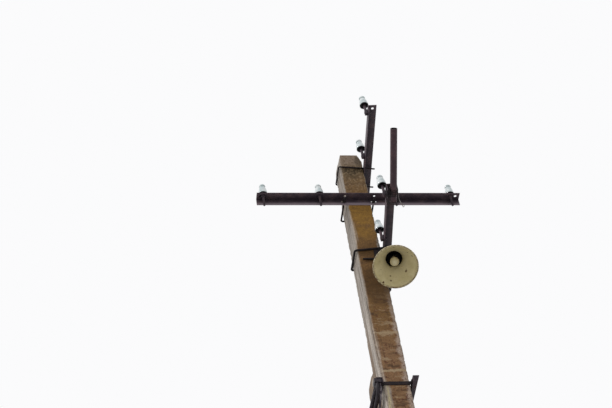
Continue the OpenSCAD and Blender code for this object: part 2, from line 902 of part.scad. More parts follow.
// The strap's ends are bent forward along the bars' upright legs
strap_tab = 24;
module yoke_front_strap() {
    face = front_y(yoke_z - strap_h) - seat;
    left = left_bar_face(face - strap_tab) + seat;
    right = yoke_x - seat;
    color(old_steel)
        translate([0, face, yoke_z - seat - strap_h]) {
            translate([left, -strap_t, 0])
                cube([right - left, strap_t, strap_h]);
            for (x = [left, right - strap_t])
                translate([x, -strap_tab, 0])
                    cube([strap_t, strap_tab, strap_h]);
        }
}

module yoke_back_rod() {
    nut_h = yoke_rod_d * 0.8;
    tail = 4;
    right = yoke_x + yoke_t + seat;
    left = left_bar_face(yoke_rod_y) - yoke_t - 2 * seat;
    color(galvanised)
        translate([0, yoke_rod_y, yoke_rod_z])
            rotate([0, 90, 0]) {
                translate([0, 0, left - nut_h - tail])
                    cylinder(h = right - left + 2 * (nut_h + tail), d = yoke_rod_d);
                translate([0, 0, right])
                    hex_nut(yoke_rod_d, nut_h);
                translate([0, 0, left - nut_h])
                    hex_nut(yoke_rod_d, nut_h);
            }
}

// Clamp under the left bar's near end, where the four cables start
clamp_at = [-left_bar_x - 30.3, front_y(yoke_z) - 12.4, yoke_z];
clamp_size = [46, 56];
clamp_drop = 30;
module cable_clamp() {
    color(black)
        translate(clamp_at - [clamp_size[0] / 2, clamp_size[1] / 2, clamp_drop])
            cube([clamp_size[0], clamp_size[1], clamp_drop - seat]);
}

// A cable's tube: rings of the same size swept along points
function unit(v) = v / norm(v);
function heading(p, i) =
    unit(p[min(i + 1, len(p) - 1)] - p[max(i - 1, 0)]);
function ring(p, i, r, sides) =
    let (h = heading(p, i), a = unit(cross(h, [1, 0, 0.1])), b = cross(h, a))
    [for (k = [0:sides - 1]) p[i] + r * (cos(360 * k / sides) * a + sin(360 * k / sides) * b)];

module swept_tube(p, r, sides) {
    n = len(p);
    polyhedron(
        points = [for (i = [0:n - 1]) each ring(p, i, r, sides)],
        faces = concat(
            [[for (k = [0:sides - 1]) sides - 1 - k]],
            [for (i = [0:n - 2], k = [0:sides - 1])
                let (m = (k + 1) % sides)
                each [[i * sides + k, i * sides + m, (i + 1) * sides + m],
                      [i * sides + k, (i + 1) * sides + m, (i + 1) * sides + k]]],
            [[for (k = [0:sides - 1]) (n - 1) * sides + k]]));
}

// A point beside the strut's right (1) or left (-1) face at height z. The share
// runs from -1 at the face's front edge to 1 at its back edge.
function strut_side(hand, z, share, off) =
    let (down = (strut_z - z) / cos(strut_lean),
         half_w = strut_half(strut_w, down) + off,
         half_d = strut_half(strut_d, down) / cos(strut_lean) * share,
         run = (strut_z - z) * tan(strut_lean),
         dir = [-sin(strut_turn), cos(strut_turn)],
         side = [hand * cos(strut_turn), hand * sin(strut_turn)])
    [strut_x + dir[0] * (run + half_d) + side[0] * half_w,
     strut_y + dir[1] * (run + half_d) + side[1] * half_w, z];

// Cable routes: out of the clamp, back to the strut, then down its left face
cable_shares = [0.5, 0.1, -0.25, -0.6];
cable_starts = [
    [[-9, 11, -clamp_drop], [-9, 11, -54], [-18, 42, -66], [-28, 134, -86], [-35, 284, -130], [-34, 434, -204]],
    [[13, 13, -clamp_drop], [13, 13, -54], [6, 44, -72], [0, 134, -96], [-6, 274, -148], [-12, 444, -234]],
    [[-7, -15, -clamp_drop], [-7, -15, -70], [-9, 10, -97], [-15, 124, -127], [-18, 254, -192],
     [-14, 374, -265]],
    [[12, -8, -clamp_drop], [12, -8, -68], [12, 20, -98], [11, 124, -137], [11, 234, -207], [8, 344, -285]]
];
// Drop from the yoke to where each cable meets the strut; then it runs down the face
cable_landings = [362, 342, 342, 362];
strut_steps = [0.914, 0.737, 0.516, 0.295, 0.118, 0];

function cable_route(i) =
    let (off = cable_d[i] / 2 + seat * 2)
    concat([for (p = cable_starts[i]) clamp_at + p],
           [strut_side(-1, yoke_z - cable_landings[i], cable_shares[i], off)],
           [for (part = strut_steps) strut_side(-1, yoke_z * part, cable_shares[i], off)]);

module down_cable(i) {
    color(i % 2 == 0 ? black : galvanised)
        swept_tube(cable_route(i - 1), cable_d[i - 1] / 2, 10);
}

// Clips: bridges over the four cables, seated on the strut's left face
clip_heights = [for (part = [0.9, 0.693, 0.4866, 0.28, 0.0885]) yoke_z * part];
module cable_clips() {
    pocket = max(cable_d) + 3;
    color(galvanised)
        difference() {
            at_strut_head()
                for (z = clip_heights) {
                    down = (strut_z - z) / cos(strut_lean);
                    half = strut_half(strut_w, down);
                    translate([-half - pocket - clip_t, -strut_d * 0.48, -down])
                        difference() {
                            cube([pocket + clip_t + 4, strut_d * 0.96, clip_h]);
                            translate([clip_t, clip_t, -over])
                                cube([pocket + 8, strut_d * 0.96 - 2 * clip_t, clip_h + 2 * over]);
                        }
                }
            strut_blank(seat);
        }
}

pole_shaft();
strut();
crossarm();
crossarm_u_bolt();
crossarm_pins();
upper_arm();
upper_arm_u_bolt();
upper_arm_pins();
lower_arm();
lower_arm_u_bolt();
lower_arm_packing();
lower_arm_pins();
for (arm = ["crossarm", "upper_arm", "lower_arm"], i = [1:4])
    arm_insulator(arm, i);
spare_pipe();
pipe_lashing();
lamp_shade();
lamp_housing();
lamp_socket();
lamp_bulb();
lamp_pipe();
lamp_pipe_clamps();
anchor_clamp();
anchor_bail();
yoke_bar_right();
yoke_bar_left();
yoke_front_strap();
yoke_back_rod();
cable_clamp();
for (i = [1:4])
    down_cable(i);
cable_clips();
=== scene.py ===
"""Looks of a concrete line pole with a raking strut, three arms and a street lamp.

Blender 4.5. Lengths are in metres, but pattern sizes and the cables' listed
points are in millimetres. +Z is up the pole, +X runs along the crossarm and +Y
runs from the lamp side to the strut side. The ground is at z = 0.
"""

import logging
import math
from dataclasses import dataclass, field
from enum import Enum
from typing import Iterable, Sequence

import bpy  # noqa: E402
from mathutils import Matrix, Vector, noise  # noqa: E402

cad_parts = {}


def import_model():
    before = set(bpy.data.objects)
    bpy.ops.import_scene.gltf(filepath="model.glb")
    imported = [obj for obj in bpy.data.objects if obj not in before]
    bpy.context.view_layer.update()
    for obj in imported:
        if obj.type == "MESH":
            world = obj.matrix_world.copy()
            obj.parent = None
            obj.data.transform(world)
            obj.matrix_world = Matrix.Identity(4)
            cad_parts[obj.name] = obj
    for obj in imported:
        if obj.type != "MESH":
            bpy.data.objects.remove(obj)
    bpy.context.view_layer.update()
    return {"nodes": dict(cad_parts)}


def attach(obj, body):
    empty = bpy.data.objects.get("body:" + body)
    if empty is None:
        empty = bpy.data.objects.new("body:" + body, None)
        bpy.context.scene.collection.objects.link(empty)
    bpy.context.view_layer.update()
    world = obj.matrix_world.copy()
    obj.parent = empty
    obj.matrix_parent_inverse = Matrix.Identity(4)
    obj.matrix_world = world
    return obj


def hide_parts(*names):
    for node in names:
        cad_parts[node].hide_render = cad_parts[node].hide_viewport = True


log = logging.getLogger("line_pole")

Point = Sequence[float]
Face = Sequence[int]
Colour = tuple[float, float, float, float]
Tree = bpy.types.NodeTree
Socket = bpy.types.NodeSocket
Material = bpy.types.Material

MM = 0.001
# The frame keeps this gap between pieces that touch.
SEAT = 0.0003
# Half size of a spot along a direction in which it never ends.
ENDLESS = 1e3


def linear(hex_code: str) -> Colour:
    """Turns an sRGB hex value into the linear colour that a shader takes.

    Args:
        hex_code: six hex digits, with or without a leading hash.

    Returns:
        Linear red, green and blue, and an alpha of 1.
    """
    digits = hex_code.lstrip("#")
    channels = [int(digits[i : i + 2], 16) / 255 for i in (0, 2, 4)]
    flat = [c / 12.92 if c <= 0.04045 else ((c + 0.055) / 1.055) ** 2.4 for c in channels]
    return (flat[0], flat[1], flat[2], 1.0)


def per_mm(size: float) -> float:
    """Gives the texture scale at which one feature is `size` millimetres wide."""
    return 1.0 / (size * MM)


def add(tree: Tree, kind: str, inputs: dict | None = None, **settings) -> bpy.types.Node:
    """Adds a shader node with its settings and links.

    Args:
        tree: the material's node tree.
        kind: the node's type without the leading "ShaderNode".
        inputs: socket name or number to a value, or to the output that feeds it.
        settings: properties of the node itself.

    Returns:
        The new node.
    """
    node = tree.nodes.new("ShaderNode" + kind)
    for name, value in settings.items():
        setattr(node, name, value)
    for key, value in (inputs or {}).items():
        if isinstance(value, Socket):
            tree.links.new(value, node.inputs[key])
        else:
            node.inputs[key].default_value = value
    return node


def turn(axis: str, degrees: float) -> Matrix:
    """Gives the rotation by `degrees` about the axis named X, Y or Z."""
    return Matrix.Rotation(math.radians(degrees), 4, axis)


def shift(x: float, y: float, z: float) -> Matrix:
    """Gives the translation by a vector."""
    return Matrix.Translation((x, y, z))


# Sizes that several sub-assemblies share.


@dataclass(frozen=True)
class PoleSection:
    """Sizes of the pole's shaft, and where its faces are at a height."""

    height: float = 9.0
    front: float = 0.172
    back: float = 0.180
    top_depth: float = 0.160
    ground_depth: float = 0.254
    chamfer: float = 0.008

    @property
    def taper(self) -> float:
        """Growth of the depth for each metre down."""
        return (self.ground_depth - self.top_depth) / self.height

    def back_y(self, z: float) -> float:
        """Gives the back face's place at height z."""
        return (self.top_depth + (self.height - z) * self.taper) / 2

    def front_y(self, z: float) -> float:
        """Gives the front face's place at height z."""
        return -self.back_y(z)

    def side_x(self, y: float) -> float:
        """Gives the half width at the depth y."""
        return (self.front + self.back) / 4 + y * (self.back - self.front) / 2 / self.top_depth


@dataclass(frozen=True)
class AngleIron:
    """The stock angle that the three arms are cut from."""

    leg: float = 0.063
    thick: float = 0.005
    length: float = 1.470


@dataclass(frozen=True)
class LampFrame:
    """Where the street lamp hangs and how it is tilted, in degrees."""

    rim: tuple[float, float, float] = (0.109, -0.260, 7.627)
    tilt: float = 25.3
    swing: float = 73.0

    @property
    def at(self) -> Matrix:
        """The lamp's frame: origin in the middle of the rim, Z up its axis."""
        return shift(*self.rim) @ turn("Z", self.swing) @ turn("Y", self.tilt)


POLE = PoleSection()
ANGLE = AngleIron()
LAMP = LampFrame()


# Materials.


@dataclass(frozen=True)
class Stain:
    """A colour that lies over another one where a pattern is strong."""

    colour: str
    clear: float
    full: float
    most: float = 1.0

    def share(self, tree: Tree, pattern: Socket, *within: Socket) -> Socket:
        """Works out how much of the stain shows: none where the pattern is at `clear`, `most` at `full`.

        Args:
            tree: the material's node tree.
            pattern: what the stain follows.
            within: masks that it keeps to.

        Returns:
            The share's output.
        """
        limits = {0: pattern, 1: self.clear, 2: self.full, 3: 0.0, 4: self.most}
        share = add(tree, "MapRange", limits, interpolation_type="SMOOTHSTEP").outputs[0]
        for mask in within:
            share = add(tree, "Math", {0: share, 1: mask}, operation="MULTIPLY").outputs[0]
        return share

    def over(self, tree: Tree, under: Socket | Colour, pattern: Socket, *within: Socket) -> Socket:
        """Lays the stain over a colour.

        Args:
            tree: the material's node tree.
            under: the colour below.
            pattern: what the stain follows.
            within: masks that it keeps to.

        Returns:
            The mixed colour's output.
        """
        share = self.share(tree, pattern, *within)
        return add(tree, "Mix", {0: share, 6: under, 7: linear(self.colour)}, data_type="RGBA").outputs[2]


@dataclass(frozen=True)
class Finish:
    """A surface of one real material, with the patterns that the eye sees on it."""

    name: str

    def start(self) -> tuple[Material, Tree, Socket]:
        """Makes an empty material.

        Returns:
            The material, its node tree, and its object coordinates in metres.
        """
        material = bpy.data.materials.new(self.name)
        material.use_nodes = True
        tree = material.node_tree
        tree.nodes.clear()
        return material, tree, add(tree, "TexCoord").outputs["Object"]

    def near(self, tree: Tree, where: Socket, centre: Point, size: Point) -> Socket:
        """Measures how far a point is from a spot, in half sizes of the spot.

        Args:
            tree: the material's node tree.
            where: the shaded point.
            centre: middle of the spot.
            size: its half sizes.

        Returns:
            The distance's output: 1 on the spot's outline.
        """
        moved = add(tree, "VectorMath", {0: where, 1: tuple(centre)}, operation="SUBTRACT").outputs[0]
        scaled = add(tree, "VectorMath", {0: moved, 1: tuple(size)}, operation="DIVIDE").outputs[0]
        return add(tree, "VectorMath", {0: scaled}, operation="LENGTH").outputs["Value"]

    def coats(self, tree: Tree, under: Socket | Colour, *coats: tuple) -> Socket:
        """Lays stains over a colour, one after another.

        Args:
            tree: the material's node tree.
            under: the colour below.
            coats: each a stain, the pattern that it follows and any masks that it keeps to.

        Returns:
            The mixed colour's output.
        """
        for stain, *where in coats:
            under = stain.over(tree, under, *where)
        return under

    def close(self, tree: Tree, **inputs) -> None:
        """Adds the shader and the output.

        Args:
            tree: the material's node tree.
            inputs: socket names of the shader, with underscores for spaces.
        """
        sockets = {name.replace("_", " "): value for name, value in inputs.items()}
        shader = add(tree, "BsdfPrincipled", sockets)
        add(tree, "OutputMaterial", {"Surface": shader.outputs[0]})


@dataclass(frozen=True)
class CastConcrete(Finish):
    """Precast concrete after decades outside: lime streaks, ochre stain, moss, pits.

    Attributes:
        cracks: height of each weeping crack, and how strongly it shows.
    """

    name: str = "weathered_precast_concrete"
    brown: str = "#7d5d38"
    brown_low: str = "#8b694a"
    ochre: str = "#946e30"
    dark: str = "#4d3828"
    fleck: str = "#ab9374"
    rust: str = "#5c3626"
    # Painted shadow of the lamp and the lower arm on the front face, with some damp.
    damp_and_shadow: str = "#4d361d"
    moss: str = "#3b3122"
    washed: str = "#a59b90"
    washed_low: str = "#8f7c6a"
    washed_dark: str = "#62574f"
    lime: str = "#cac0b5"
    wash: str = "#bcae9f"
    curd: str = "#c8b98c"
    grey: str = "#86796a"
    dusky: str = "#7b6a50"
    pale: str = "#c0aea0"
    cracks: tuple[tuple[float, float], ...] = ((7.199, 0.7), (6.875, 0.95))

    def build(self) -> Material:
        """Builds the concrete.

        Returns:
            The material.
        """
        material, tree, place = self.start()
        normal = add(tree, "SeparateXYZ", {0: add(tree, "NewGeometry").outputs["Normal"]})
        warp = add(tree, "TexNoise", {"Vector": place, "Scale": per_mm(55), "Detail": 3.0})
        middle = add(tree, "VectorMath", {0: warp.outputs["Color"], 1: (0.5, 0.5, 0.5)}, operation="SUBTRACT")
        strayed = add(tree, "VectorMath", {0: middle.outputs[0], "Scale": 0.06}, operation="SCALE").outputs[0]
        where = add(tree, "VectorMath", {0: place, 1: strayed}, operation="ADD").outputs[0]
        height = add(tree, "SeparateXYZ", {0: where}).outputs["Z"]
        across = add(tree, "SeparateXYZ", {0: where}).outputs["X"]
        true = add(tree, "SeparateXYZ", {0: place})
        drawn = add(tree, "Mapping", {"Vector": place, "Scale": (1.0, 1.0, 0.035)}).outputs[0]
        level = add(tree, "Mapping", {"Vector": where, "Scale": (0.25, 0.25, 1.0)}).outputs[0]
        noises = (
            # Rain draws the streaks down the shaft: 12 to 60 mm wide and half a metre long and more.
            (drawn, 18, 5.0, 0.65),
            (drawn, 12, 3.0, 0.6),
            (drawn, 60, 3.0, 0.5),
            (place, 160, 6.0, 0.6),
            # Each lift of the pour leaves a row across the face, about 30 mm high, with stain caught in it.
            (level, 34, 5.0, 0.62),
            # Sand and cement skin, drawn at 9 mm because the real 2 mm grains don't show at this distance.
            (place, 9, 6.0, 0.7),
            (place, 20, 4.0, 0.6),
        )
        streak, thin, wide, cloud, row, grain, speck = (
            add(
                tree,
                "TexNoise",
                {"Vector": spread, "Scale": per_mm(size), "Detail": detail, "Roughness": rough},
            ).outputs["Fac"]
            for spread, size, detail, rough in noises
        )
        pits = add(tree, "TexVoronoi", {"Vector": place, "Scale": per_mm(14), "Randomness": 1.0})
        low, upper, head, foot, front, left = (
            add(tree, "MapRange", {0: value, 1: none, 2: full, 4: most}).outputs[0]
            for value, none, full, most in (
                (height, 7.75, 7.25, 1.0),
                (height, 8.45, 8.8, 0.6),
                (true.outputs["Z"], 8.85, 8.9, 1.0),
                (true.outputs["Z"], 6.82, 6.72, 0.9),
                (normal.outputs["Y"], -0.45, -0.8, 1.0),
                (normal.outputs["X"], -0.4, -0.72, 1.0),
            )
        )

        # Front face: brown stain, ochre in its middle, dark rows and specks, pale flecks low down.
        golden = self.near(tree, where, (0.0, -0.085, 8.32), (0.3, 0.3, 0.27))
        gold = Stain(self.ochre, 1.15, 0.45, 0.9).share(tree, golden)
        deep = Stain(self.dark, 8.25, 7.45, 0.75).share(tree, height)
        skin = self.coats(
            tree,
            linear(self.brown),
            (Stain(self.brown_low, 7.35, 7.0), height),
            (Stain(self.ochre, 0.34, 0.52), cloud, gold),
            (Stain(self.dark, 0.5, 0.74, 0.6), streak),
            (Stain(self.dark, 0.5, 0.66), row, deep),
            (Stain(self.dark, 0.46, 0.66, 0.25), row),
            (Stain(self.fleck, 0.45, 0.37, 0.6), row, low),
            (Stain(self.pale, 0.044, 0.07, 0.65), across, low),
            (Stain(self.rust, 0.56, 0.64, 0.8), speck, low),
            (Stain(self.dusky, 0.0, 1.0), upper),
            (Stain(self.dark, 0.48, 0.62, 0.7), row, upper),
            (Stain(self.fleck, 0.5, 0.38, 0.9), speck, upper),
            (Stain(self.moss, 0.53, 0.63, 0.8), speck, upper),
            (Stain(self.washed_low, 0.68, 0.5), speck, head),
        )
        # Moss on the top, damp and painted shadow behind the lamp and below the lower arm, and one worn
        # patch: colour, strength, middle, half sizes.
        for colour, most, centre, size in (
            (self.moss, 0.4, (0.0, -0.082, 8.81), (0.095, 0.08, 0.075)),
            (self.moss, 0.6, (0.06, -0.082, 8.93), (0.035, 0.08, 0.06)),
            (self.damp_and_shadow, 0.7, (0.0, -0.09, 7.64), (0.14, 0.1, 0.2)),
            (self.damp_and_shadow, 0.4, (0.03, -0.09, 7.95), (0.12, 0.1, 0.11)),
            (self.washed, 0.85, (0.091, -0.09, 8.035), (0.027, 0.1, 0.08)),
        ):
            skin = Stain(colour, 1.15, 0.45, most).over(tree, skin, self.near(tree, where, centre, size))
        shaded = self.near(tree, where, (-0.005, -0.082, 8.815), (0.08, 0.08, 0.055))
        shaded = Stain(self.moss, 1.2, 0.6).share(tree, shaded)
        skin = Stain(self.moss, 0.46, 0.56, 0.8).over(tree, skin, speck, shaded)
        # Lime weeps out of the two cracks that go right across the face.
        for crack, most in self.cracks:
            away = self.near(tree, where, (0.0, 0.0, crack), (ENDLESS, ENDLESS, 0.007))
            skin = Stain(self.fleck, 2.0, 0.8, most).over(tree, skin, away)
        # The rain washes it round the left arris, further the lower it runs.
        reach = add(tree, "MapRange", {0: true.outputs["Z"], 1: 7.3, 2: 7.08, 4: 0.009}).outputs[0]
        reach = add(tree, "Math", {0: foot, 1: 0.024, 2: reach}, operation="MULTIPLY_ADD").outputs[0]
        below_arm = self.near(tree, place, (0.0, 0.0, 8.16), (ENDLESS, ENDLESS, 0.16))
        below_arm = add(tree, "MapRange", {0: below_arm, 1: 1.0, 2: 0.5, 4: 0.013}).outputs[0]
        reach = add(tree, "Math", {0: reach, 1: below_arm}, operation="ADD").outputs[0]
        calm = add(tree, "Mix", {0: 0.35, 2: true.outputs["X"], 3: across}).outputs[0]
        beside = add(tree, "Math", {0: calm, 1: POLE.front / 2}, operation="ADD").outputs[0]
        beside = add(tree, "Math", {0: beside, 1: reach}, operation="SUBTRACT").outputs[0]
        ragged = add(tree, "Math", {0: thin, 1: 0.05, 2: beside}, operation="MULTIPLY_ADD").outputs[0]
        washing = Stain(self.wash, 0.044, 0.014, 0.9)
        wash = washing.share(tree, ragged)
        skin = self.coats(
            tree,
            skin,
            (washing, ragged),
            (Stain(self.washed_dark, 0.55, 0.62, 0.8), thin, wash),
            (Stain(self.curd, 0.5, 0.42), streak, wash, foot),
        )
        # Left face: washed pale by rain, with dark and lime-white streaks.
        bleached = self.coats(
            tree,
            linear(self.washed),
            (Stain(self.washed_low, 7.5, 7.05), height),
            (Stain(self.washed_dark, 0.5, 0.66, 0.8), streak),
            (Stain(self.lime, 0.5, 0.64, 0.75), wide),
            (Stain(self.washed_dark, 0.54, 0.63, 0.85), thin),
        )
        # The other faces are between the two.
        colour = self.coats(
            tree,
            linear(self.grey),
            (Stain(self.washed, 0.3, 0.75, 0.8), cloud),
            (Stain(self.washed_dark, 0.5, 0.74, 0.6), streak),
        )
        for facing, face in ((front, skin), (left, bleached)):
            colour = add(tree, "Mix", {0: facing, 6: colour, 7: face}, data_type="RGBA").outputs[2]
        dirt = add(tree, "MapRange", {0: grain, 1: 0.35, 2: 0.7, 3: 0.64, 4: 1.26}).outputs[0]
        colour = add(tree, "VectorMath", {0: colour, "Scale": dirt}, operation="SCALE").outputs[0]

        rough = add(tree, "MapRange", {0: grain, 3: 0.8, 4: 1.0}).outputs[0]
        relief = add(tree, "MapRange", {0: pits.outputs["Distance"], 1: 0.1, 2: 0.35}).outputs[0]
        for pattern, depth in ((grain, 0.7), (streak, 0.8), (row, -1.6)):
            relief = add(tree, "Math", {0: pattern, 1: depth, 2: relief}, operation="MULTIPLY_ADD").outputs[0]
        bump = add(tree, "Bump", {"Height": relief, "Strength": 0.55, "Distance": 2.2 * MM}).outputs[0]
        self.close(tree, Base_Color=colour, Roughness=rough, Normal=bump, Specular_IOR_Level=0.25)
        return material


@dataclass(frozen=True)
class PaintedSteel(Finish):
    """Hot-rolled steel under old bitumen paint: dull, chalky, rust coming through.

    Attributes:
        rust_share: how much of the paint the rust covers where it is strongest.
        gloss: the paint's specular level.
        hanging_edge: middle and half sizes of the strip of painted light along the crossarm's lower edge.
    """

    name: str = "bitumen_painted_steel"
    paint: str = "#3f333b"
    chalk: str = "#6b5c62"
    # Colour of the painted shade, with some soot, in the inside corners.
    soot: str = "#17111a"
    rust: str = "#543529"
    # Colour of the painted light along the crossarm's hanging edge.
    thin: str = "#94858c"
    rust_share: float = 0.55
    gloss: float = 0.3
    hanging_edge: tuple[Point, Point] = ((0.0, -0.088, 8.434), (1.5, 0.012, 0.036))

    def build(self) -> Material:
        """Builds the painted steel.

        Returns:
            The material.
        """
        material, tree, place = self.start()
        coarse = {"Vector": place, "Scale": per_mm(70), "Detail": 6.0, "Roughness": 0.65}
        grit = {"Vector": place, "Scale": per_mm(7), "Detail": 5.0, "Roughness": 0.7}
        cloud, fine = (add(tree, "TexNoise", pattern).outputs["Fac"] for pattern in (coarse, grit))
        colour = Stain(self.chalk, 0.42, 0.7, 0.7).over(tree, linear(self.paint), cloud)
        both = add(tree, "Math", {0: cloud, 1: fine}, operation="MULTIPLY").outputs[0]
        rusting = Stain(self.rust, 0.26, 0.36, self.rust_share)
        rusty = rusting.share(tree, both)
        colour = rusting.over(tree, colour, both)
        # Painted shade, with some soot: the inside corners are darkened by how little open sky they see.
        open_sky = add(tree, "AmbientOcclusion", {"Distance": 0.12}, samples=12).outputs["AO"]
        colour = Stain(self.soot, 0.9, 0.5, 0.68).over(tree, colour, open_sky)
        # Painted light: the strip along the crossarm's hanging edge is painted lighter.
        hanging = self.near(tree, place, *self.hanging_edge)
        colour = Stain(self.thin, 1.0, 0.3, 0.75).over(tree, colour, hanging)
        rough = add(tree, "MapRange", {0: rusty, 1: 0.0, 2: 0.6, 3: 0.5, 4: 0.88}).outputs[0]
        lift = add(tree, "Math", {0: fine, 1: 0.5, 2: rusty}, operation="MULTIPLY_ADD").outputs[0]
        bump = add(tree, "Bump", {"Height": lift, "Strength": 0.5, "Distance": 0.5 * MM}).outputs[0]
        self.close(tree, Base_Color=colour, Roughness=rough, Normal=bump, Specular_IOR_Level=self.gloss)
        return material


@dataclass(frozen=True)
class DullZinc(Finish):
    """Hot-dip galvanised steel gone matt grey, stained brown in patches."""

    name: str = "weathered_galvanised_steel"
    zinc: str = "#8d8985"
    dark: str = "#5c5754"
    stain: str = "#6b4a36"

    def build(self) -> Material:
        """Builds the zinc.

        Returns:
            The material.
        """
        material, tree, place = self.start()
        cloud = add(tree, "TexNoise", {"Vector": place, "Scale": per_mm(22), "Detail": 5.0, "Roughness": 0.6})
        spangle = add(tree, "TexVoronoi", {"Vector": place, "Scale": per_mm(8)})
        cloud = cloud.outputs["Fac"]
        colour = self.coats(
            tree,
            linear(self.zinc),
            (Stain(self.dark, 0.38, 0.62), cloud),
            (Stain(self.stain, 0.58, 0.7, 0.7), cloud),
        )
        spangle = spangle.outputs["Distance"]
        rough = add(tree, "MapRange", {0: spangle, 1: 0.0, 2: 0.8, 3: 0.42, 4: 0.62}).outputs[0]
        bump = add(tree, "Bump", {"Height": cloud, "Strength": 0.3, "Distance": 0.3 * MM}).outputs[0]
        self.close(tree, Base_Color=colour, Roughness=rough, Normal=bump, Metallic=0.75)
        return material


@dataclass(frozen=True)
class GlazedPorcelain(Finish):
    """Electrical porcelain under a white glaze, bluish, dusty, and darkened by painted shade with some soot
    in its grooves, in its skirt and below.
    """

    name: str = "glazed_porcelain"
    glaze: str = "#e4e8e7"
    tint: str = "#bccaca"
    dust: str = "#8e8377"
    # Colour of the painted shade, with some soot, inside the skirt and on faces that look down.
    soot: str = "#151014"

    def build(self) -> Material:
        """Builds the porcelain.

        Returns:
            The material.
        """
        material, tree, place = self.start()
        cloud = add(tree, "TexNoise", {"Vector": place, "Scale": per_mm(30), "Detail": 4.0})
        fine = add(tree, "TexNoise", {"Vector": place, "Scale": per_mm(5), "Detail": 3.0}).outputs["Fac"]
        colour = Stain(self.tint, 0.4, 0.65).over(tree, linear(self.glaze), cloud.outputs["Fac"])
        dusting = Stain(self.dust, 0.58, 0.75, 0.45)
        colour = dusting.over(tree, colour, fine)
        dusty = dusting.share(tree, fine)
        # Painted shade, with some soot: the hollow skirt's inside and other sheltered hollows are darkened
        # nearly to black.
        open_sky = add(tree, "AmbientOcclusion", {"Distance": 0.04}, samples=12).outputs["AO"]
        colour = Stain(self.soot, 0.72, 0.45, 0.95).over(tree, colour, open_sky)
        # Painted shade: faces that look down are darkened nearly to black.
        facing = add(tree, "SeparateXYZ", {0: add(tree, "NewGeometry").outputs["Normal"]}).outputs["Z"]
        colour = Stain(self.soot, -0.35, -0.75, 0.92).over(tree, colour, facing)
        rough = add(tree, "MapRange", {0: dusty, 1: 0.0, 2: 0.45, 3: 0.12, 4: 0.5}).outputs[0]
        self.close(tree, Base_Color=colour, Roughness=rough, Coat_Weight=0.4, Coat_Roughness=0.08)
        return material


@dataclass(frozen=True)
class AgedEnamel(Finish):
    """Vitreous enamel on pressed sheet, yellowed, chipped through to rust at its edge.

    Attributes:
        chips: knocked spots inside the shade: degrees round its axis, radius, height
            above the rim, and size.
    """

    name: str = "aged_vitreous_enamel"
    cream: str = "#c8ba8c"
    light: str = "#d6c9a0"
    # Light cream for the mottling, for the painted highlight at the rim and for the painted light near the
    # neck.
    grime: str = "#a3966c"
    rust: str = "#54331f"
    soot: str = "#17120f"
    chips: tuple[tuple[float, float, float, float], ...] = (
        (-38.6, 0.0972, 0.0861, 0.013),
        (28.9, 0.0975, 0.0854, 0.008),
        (25.6, 0.1173, 0.0514, 0.010),
    )

    def build(self) -> Material:
        """Builds the enamel; its rust keeps to the rim and to the knocked spots inside.

        Returns:
            The material.
        """
        material, tree, place = self.start()
        cloud, fine, knock = (
            add(
                tree,
                "TexNoise",
                {"Vector": place, "Scale": per_mm(size), "Detail": detail, "Roughness": rough},
            ).outputs["Fac"]
            for size, detail, rough in ((60, 5.0, 0.55), (11, 5.0, 0.65), (27, 2.0, 0.4))
        )
        # How far up the lamp's own axis a point lies, from the rim's edge at 0 to the neck.
        axis = tuple(LAMP.at.col[2].xyz)
        moved = add(tree, "VectorMath", {0: place, 1: LAMP.rim}, operation="SUBTRACT").outputs[0]
        up = add(tree, "VectorMath", {0: moved, 1: axis}, operation="DOT_PRODUCT").outputs["Value"]
        ragged = add(tree, "Math", {0: fine, 1: -0.03, 2: up}, operation="MULTIPLY_ADD").outputs[0]
        colour = self.coats(
            tree,
            linear(self.cream),
            (Stain(self.light, 0.4, 0.65, 0.8), cloud),
            # Painted highlight: a lighter ring along the rim. Painted light: the upper inside toward the neck
            # is lightened against its shade.
            (Stain(self.light, 0.016, 0.006, 0.8), up),
            (Stain(self.light, 0.05, 0.13, 0.9), up),
            (Stain(self.grime, 0.5, 0.75, 0.55), fine),
        )
        rusty = Stain(self.rust, -0.011, -0.016, 0.8).share(tree, ragged)
        spots = [Stain(self.rust, 0.7, 0.73).share(tree, knock)]
        for degrees, radius, height, size in self.chips:
            spot = LAMP.at @ turn("Z", degrees) @ Vector((radius, 0, height))
            away = self.near(tree, place, spot, (size, size, size))
            away = add(tree, "Math", {0: fine, 1: 0.8, 2: away}, operation="MULTIPLY_ADD").outputs[0]
            spots.append(Stain(self.rust, 1.2, 1.0, 0.85).share(tree, away))
        for spot in spots:
            rusty = add(tree, "Math", {0: rusty, 1: spot}, operation="MAXIMUM").outputs[0]
        colour = add(tree, "Mix", {0: rusty, 6: colour, 7: linear(self.rust)}, data_type="RGBA").outputs[2]
        # Smoke from the lampholder has burnt on round the neck.
        colour = Stain(self.soot, 0.143, 0.147, 0.95).over(tree, colour, ragged)
        rough = add(tree, "MapRange", {0: rusty, 3: 0.38, 4: 0.9}).outputs[0]
        sunk = add(tree, "Math", {0: rusty, 1: -1.0, 2: 1.0}, operation="MULTIPLY_ADD").outputs[0]
        bump = add(tree, "Bump", {"Height": sunk, "Strength": 0.6, "Distance": 0.6 * MM}).outputs[0]
        self.close(tree, Base_Color=colour, Roughness=rough, Normal=bump)
        return material


@dataclass(frozen=True)
class FrostedGlass(Finish):
    """Milky bulb glass, dusty in patches."""

    name: str = "frosted_bulb_glass"
    milk: str = "#d9cda6"
    dust: str = "#a89c78"

    def build(self) -> Material:
        """Builds the bulb's glass.

        Returns:
            The material.
        """
        material, tree, place = self.start()
        cloud = add(tree, "TexNoise", {"Vector": place, "Scale": per_mm(14), "Detail": 4.0}).outputs["Fac"]
        dusting = Stain(self.dust, 0.4, 0.7, 0.7)
        colour = dusting.over(tree, linear(self.milk), cloud)
        rough = add(tree, "MapRange", {0: dusting.share(tree, cloud), 3: 0.2, 4: 0.55}).outputs[0]
        self.close(tree, Base_Color=colour, Roughness=rough, IOR=1.5, Transmission_Weight=0.12)
        return material


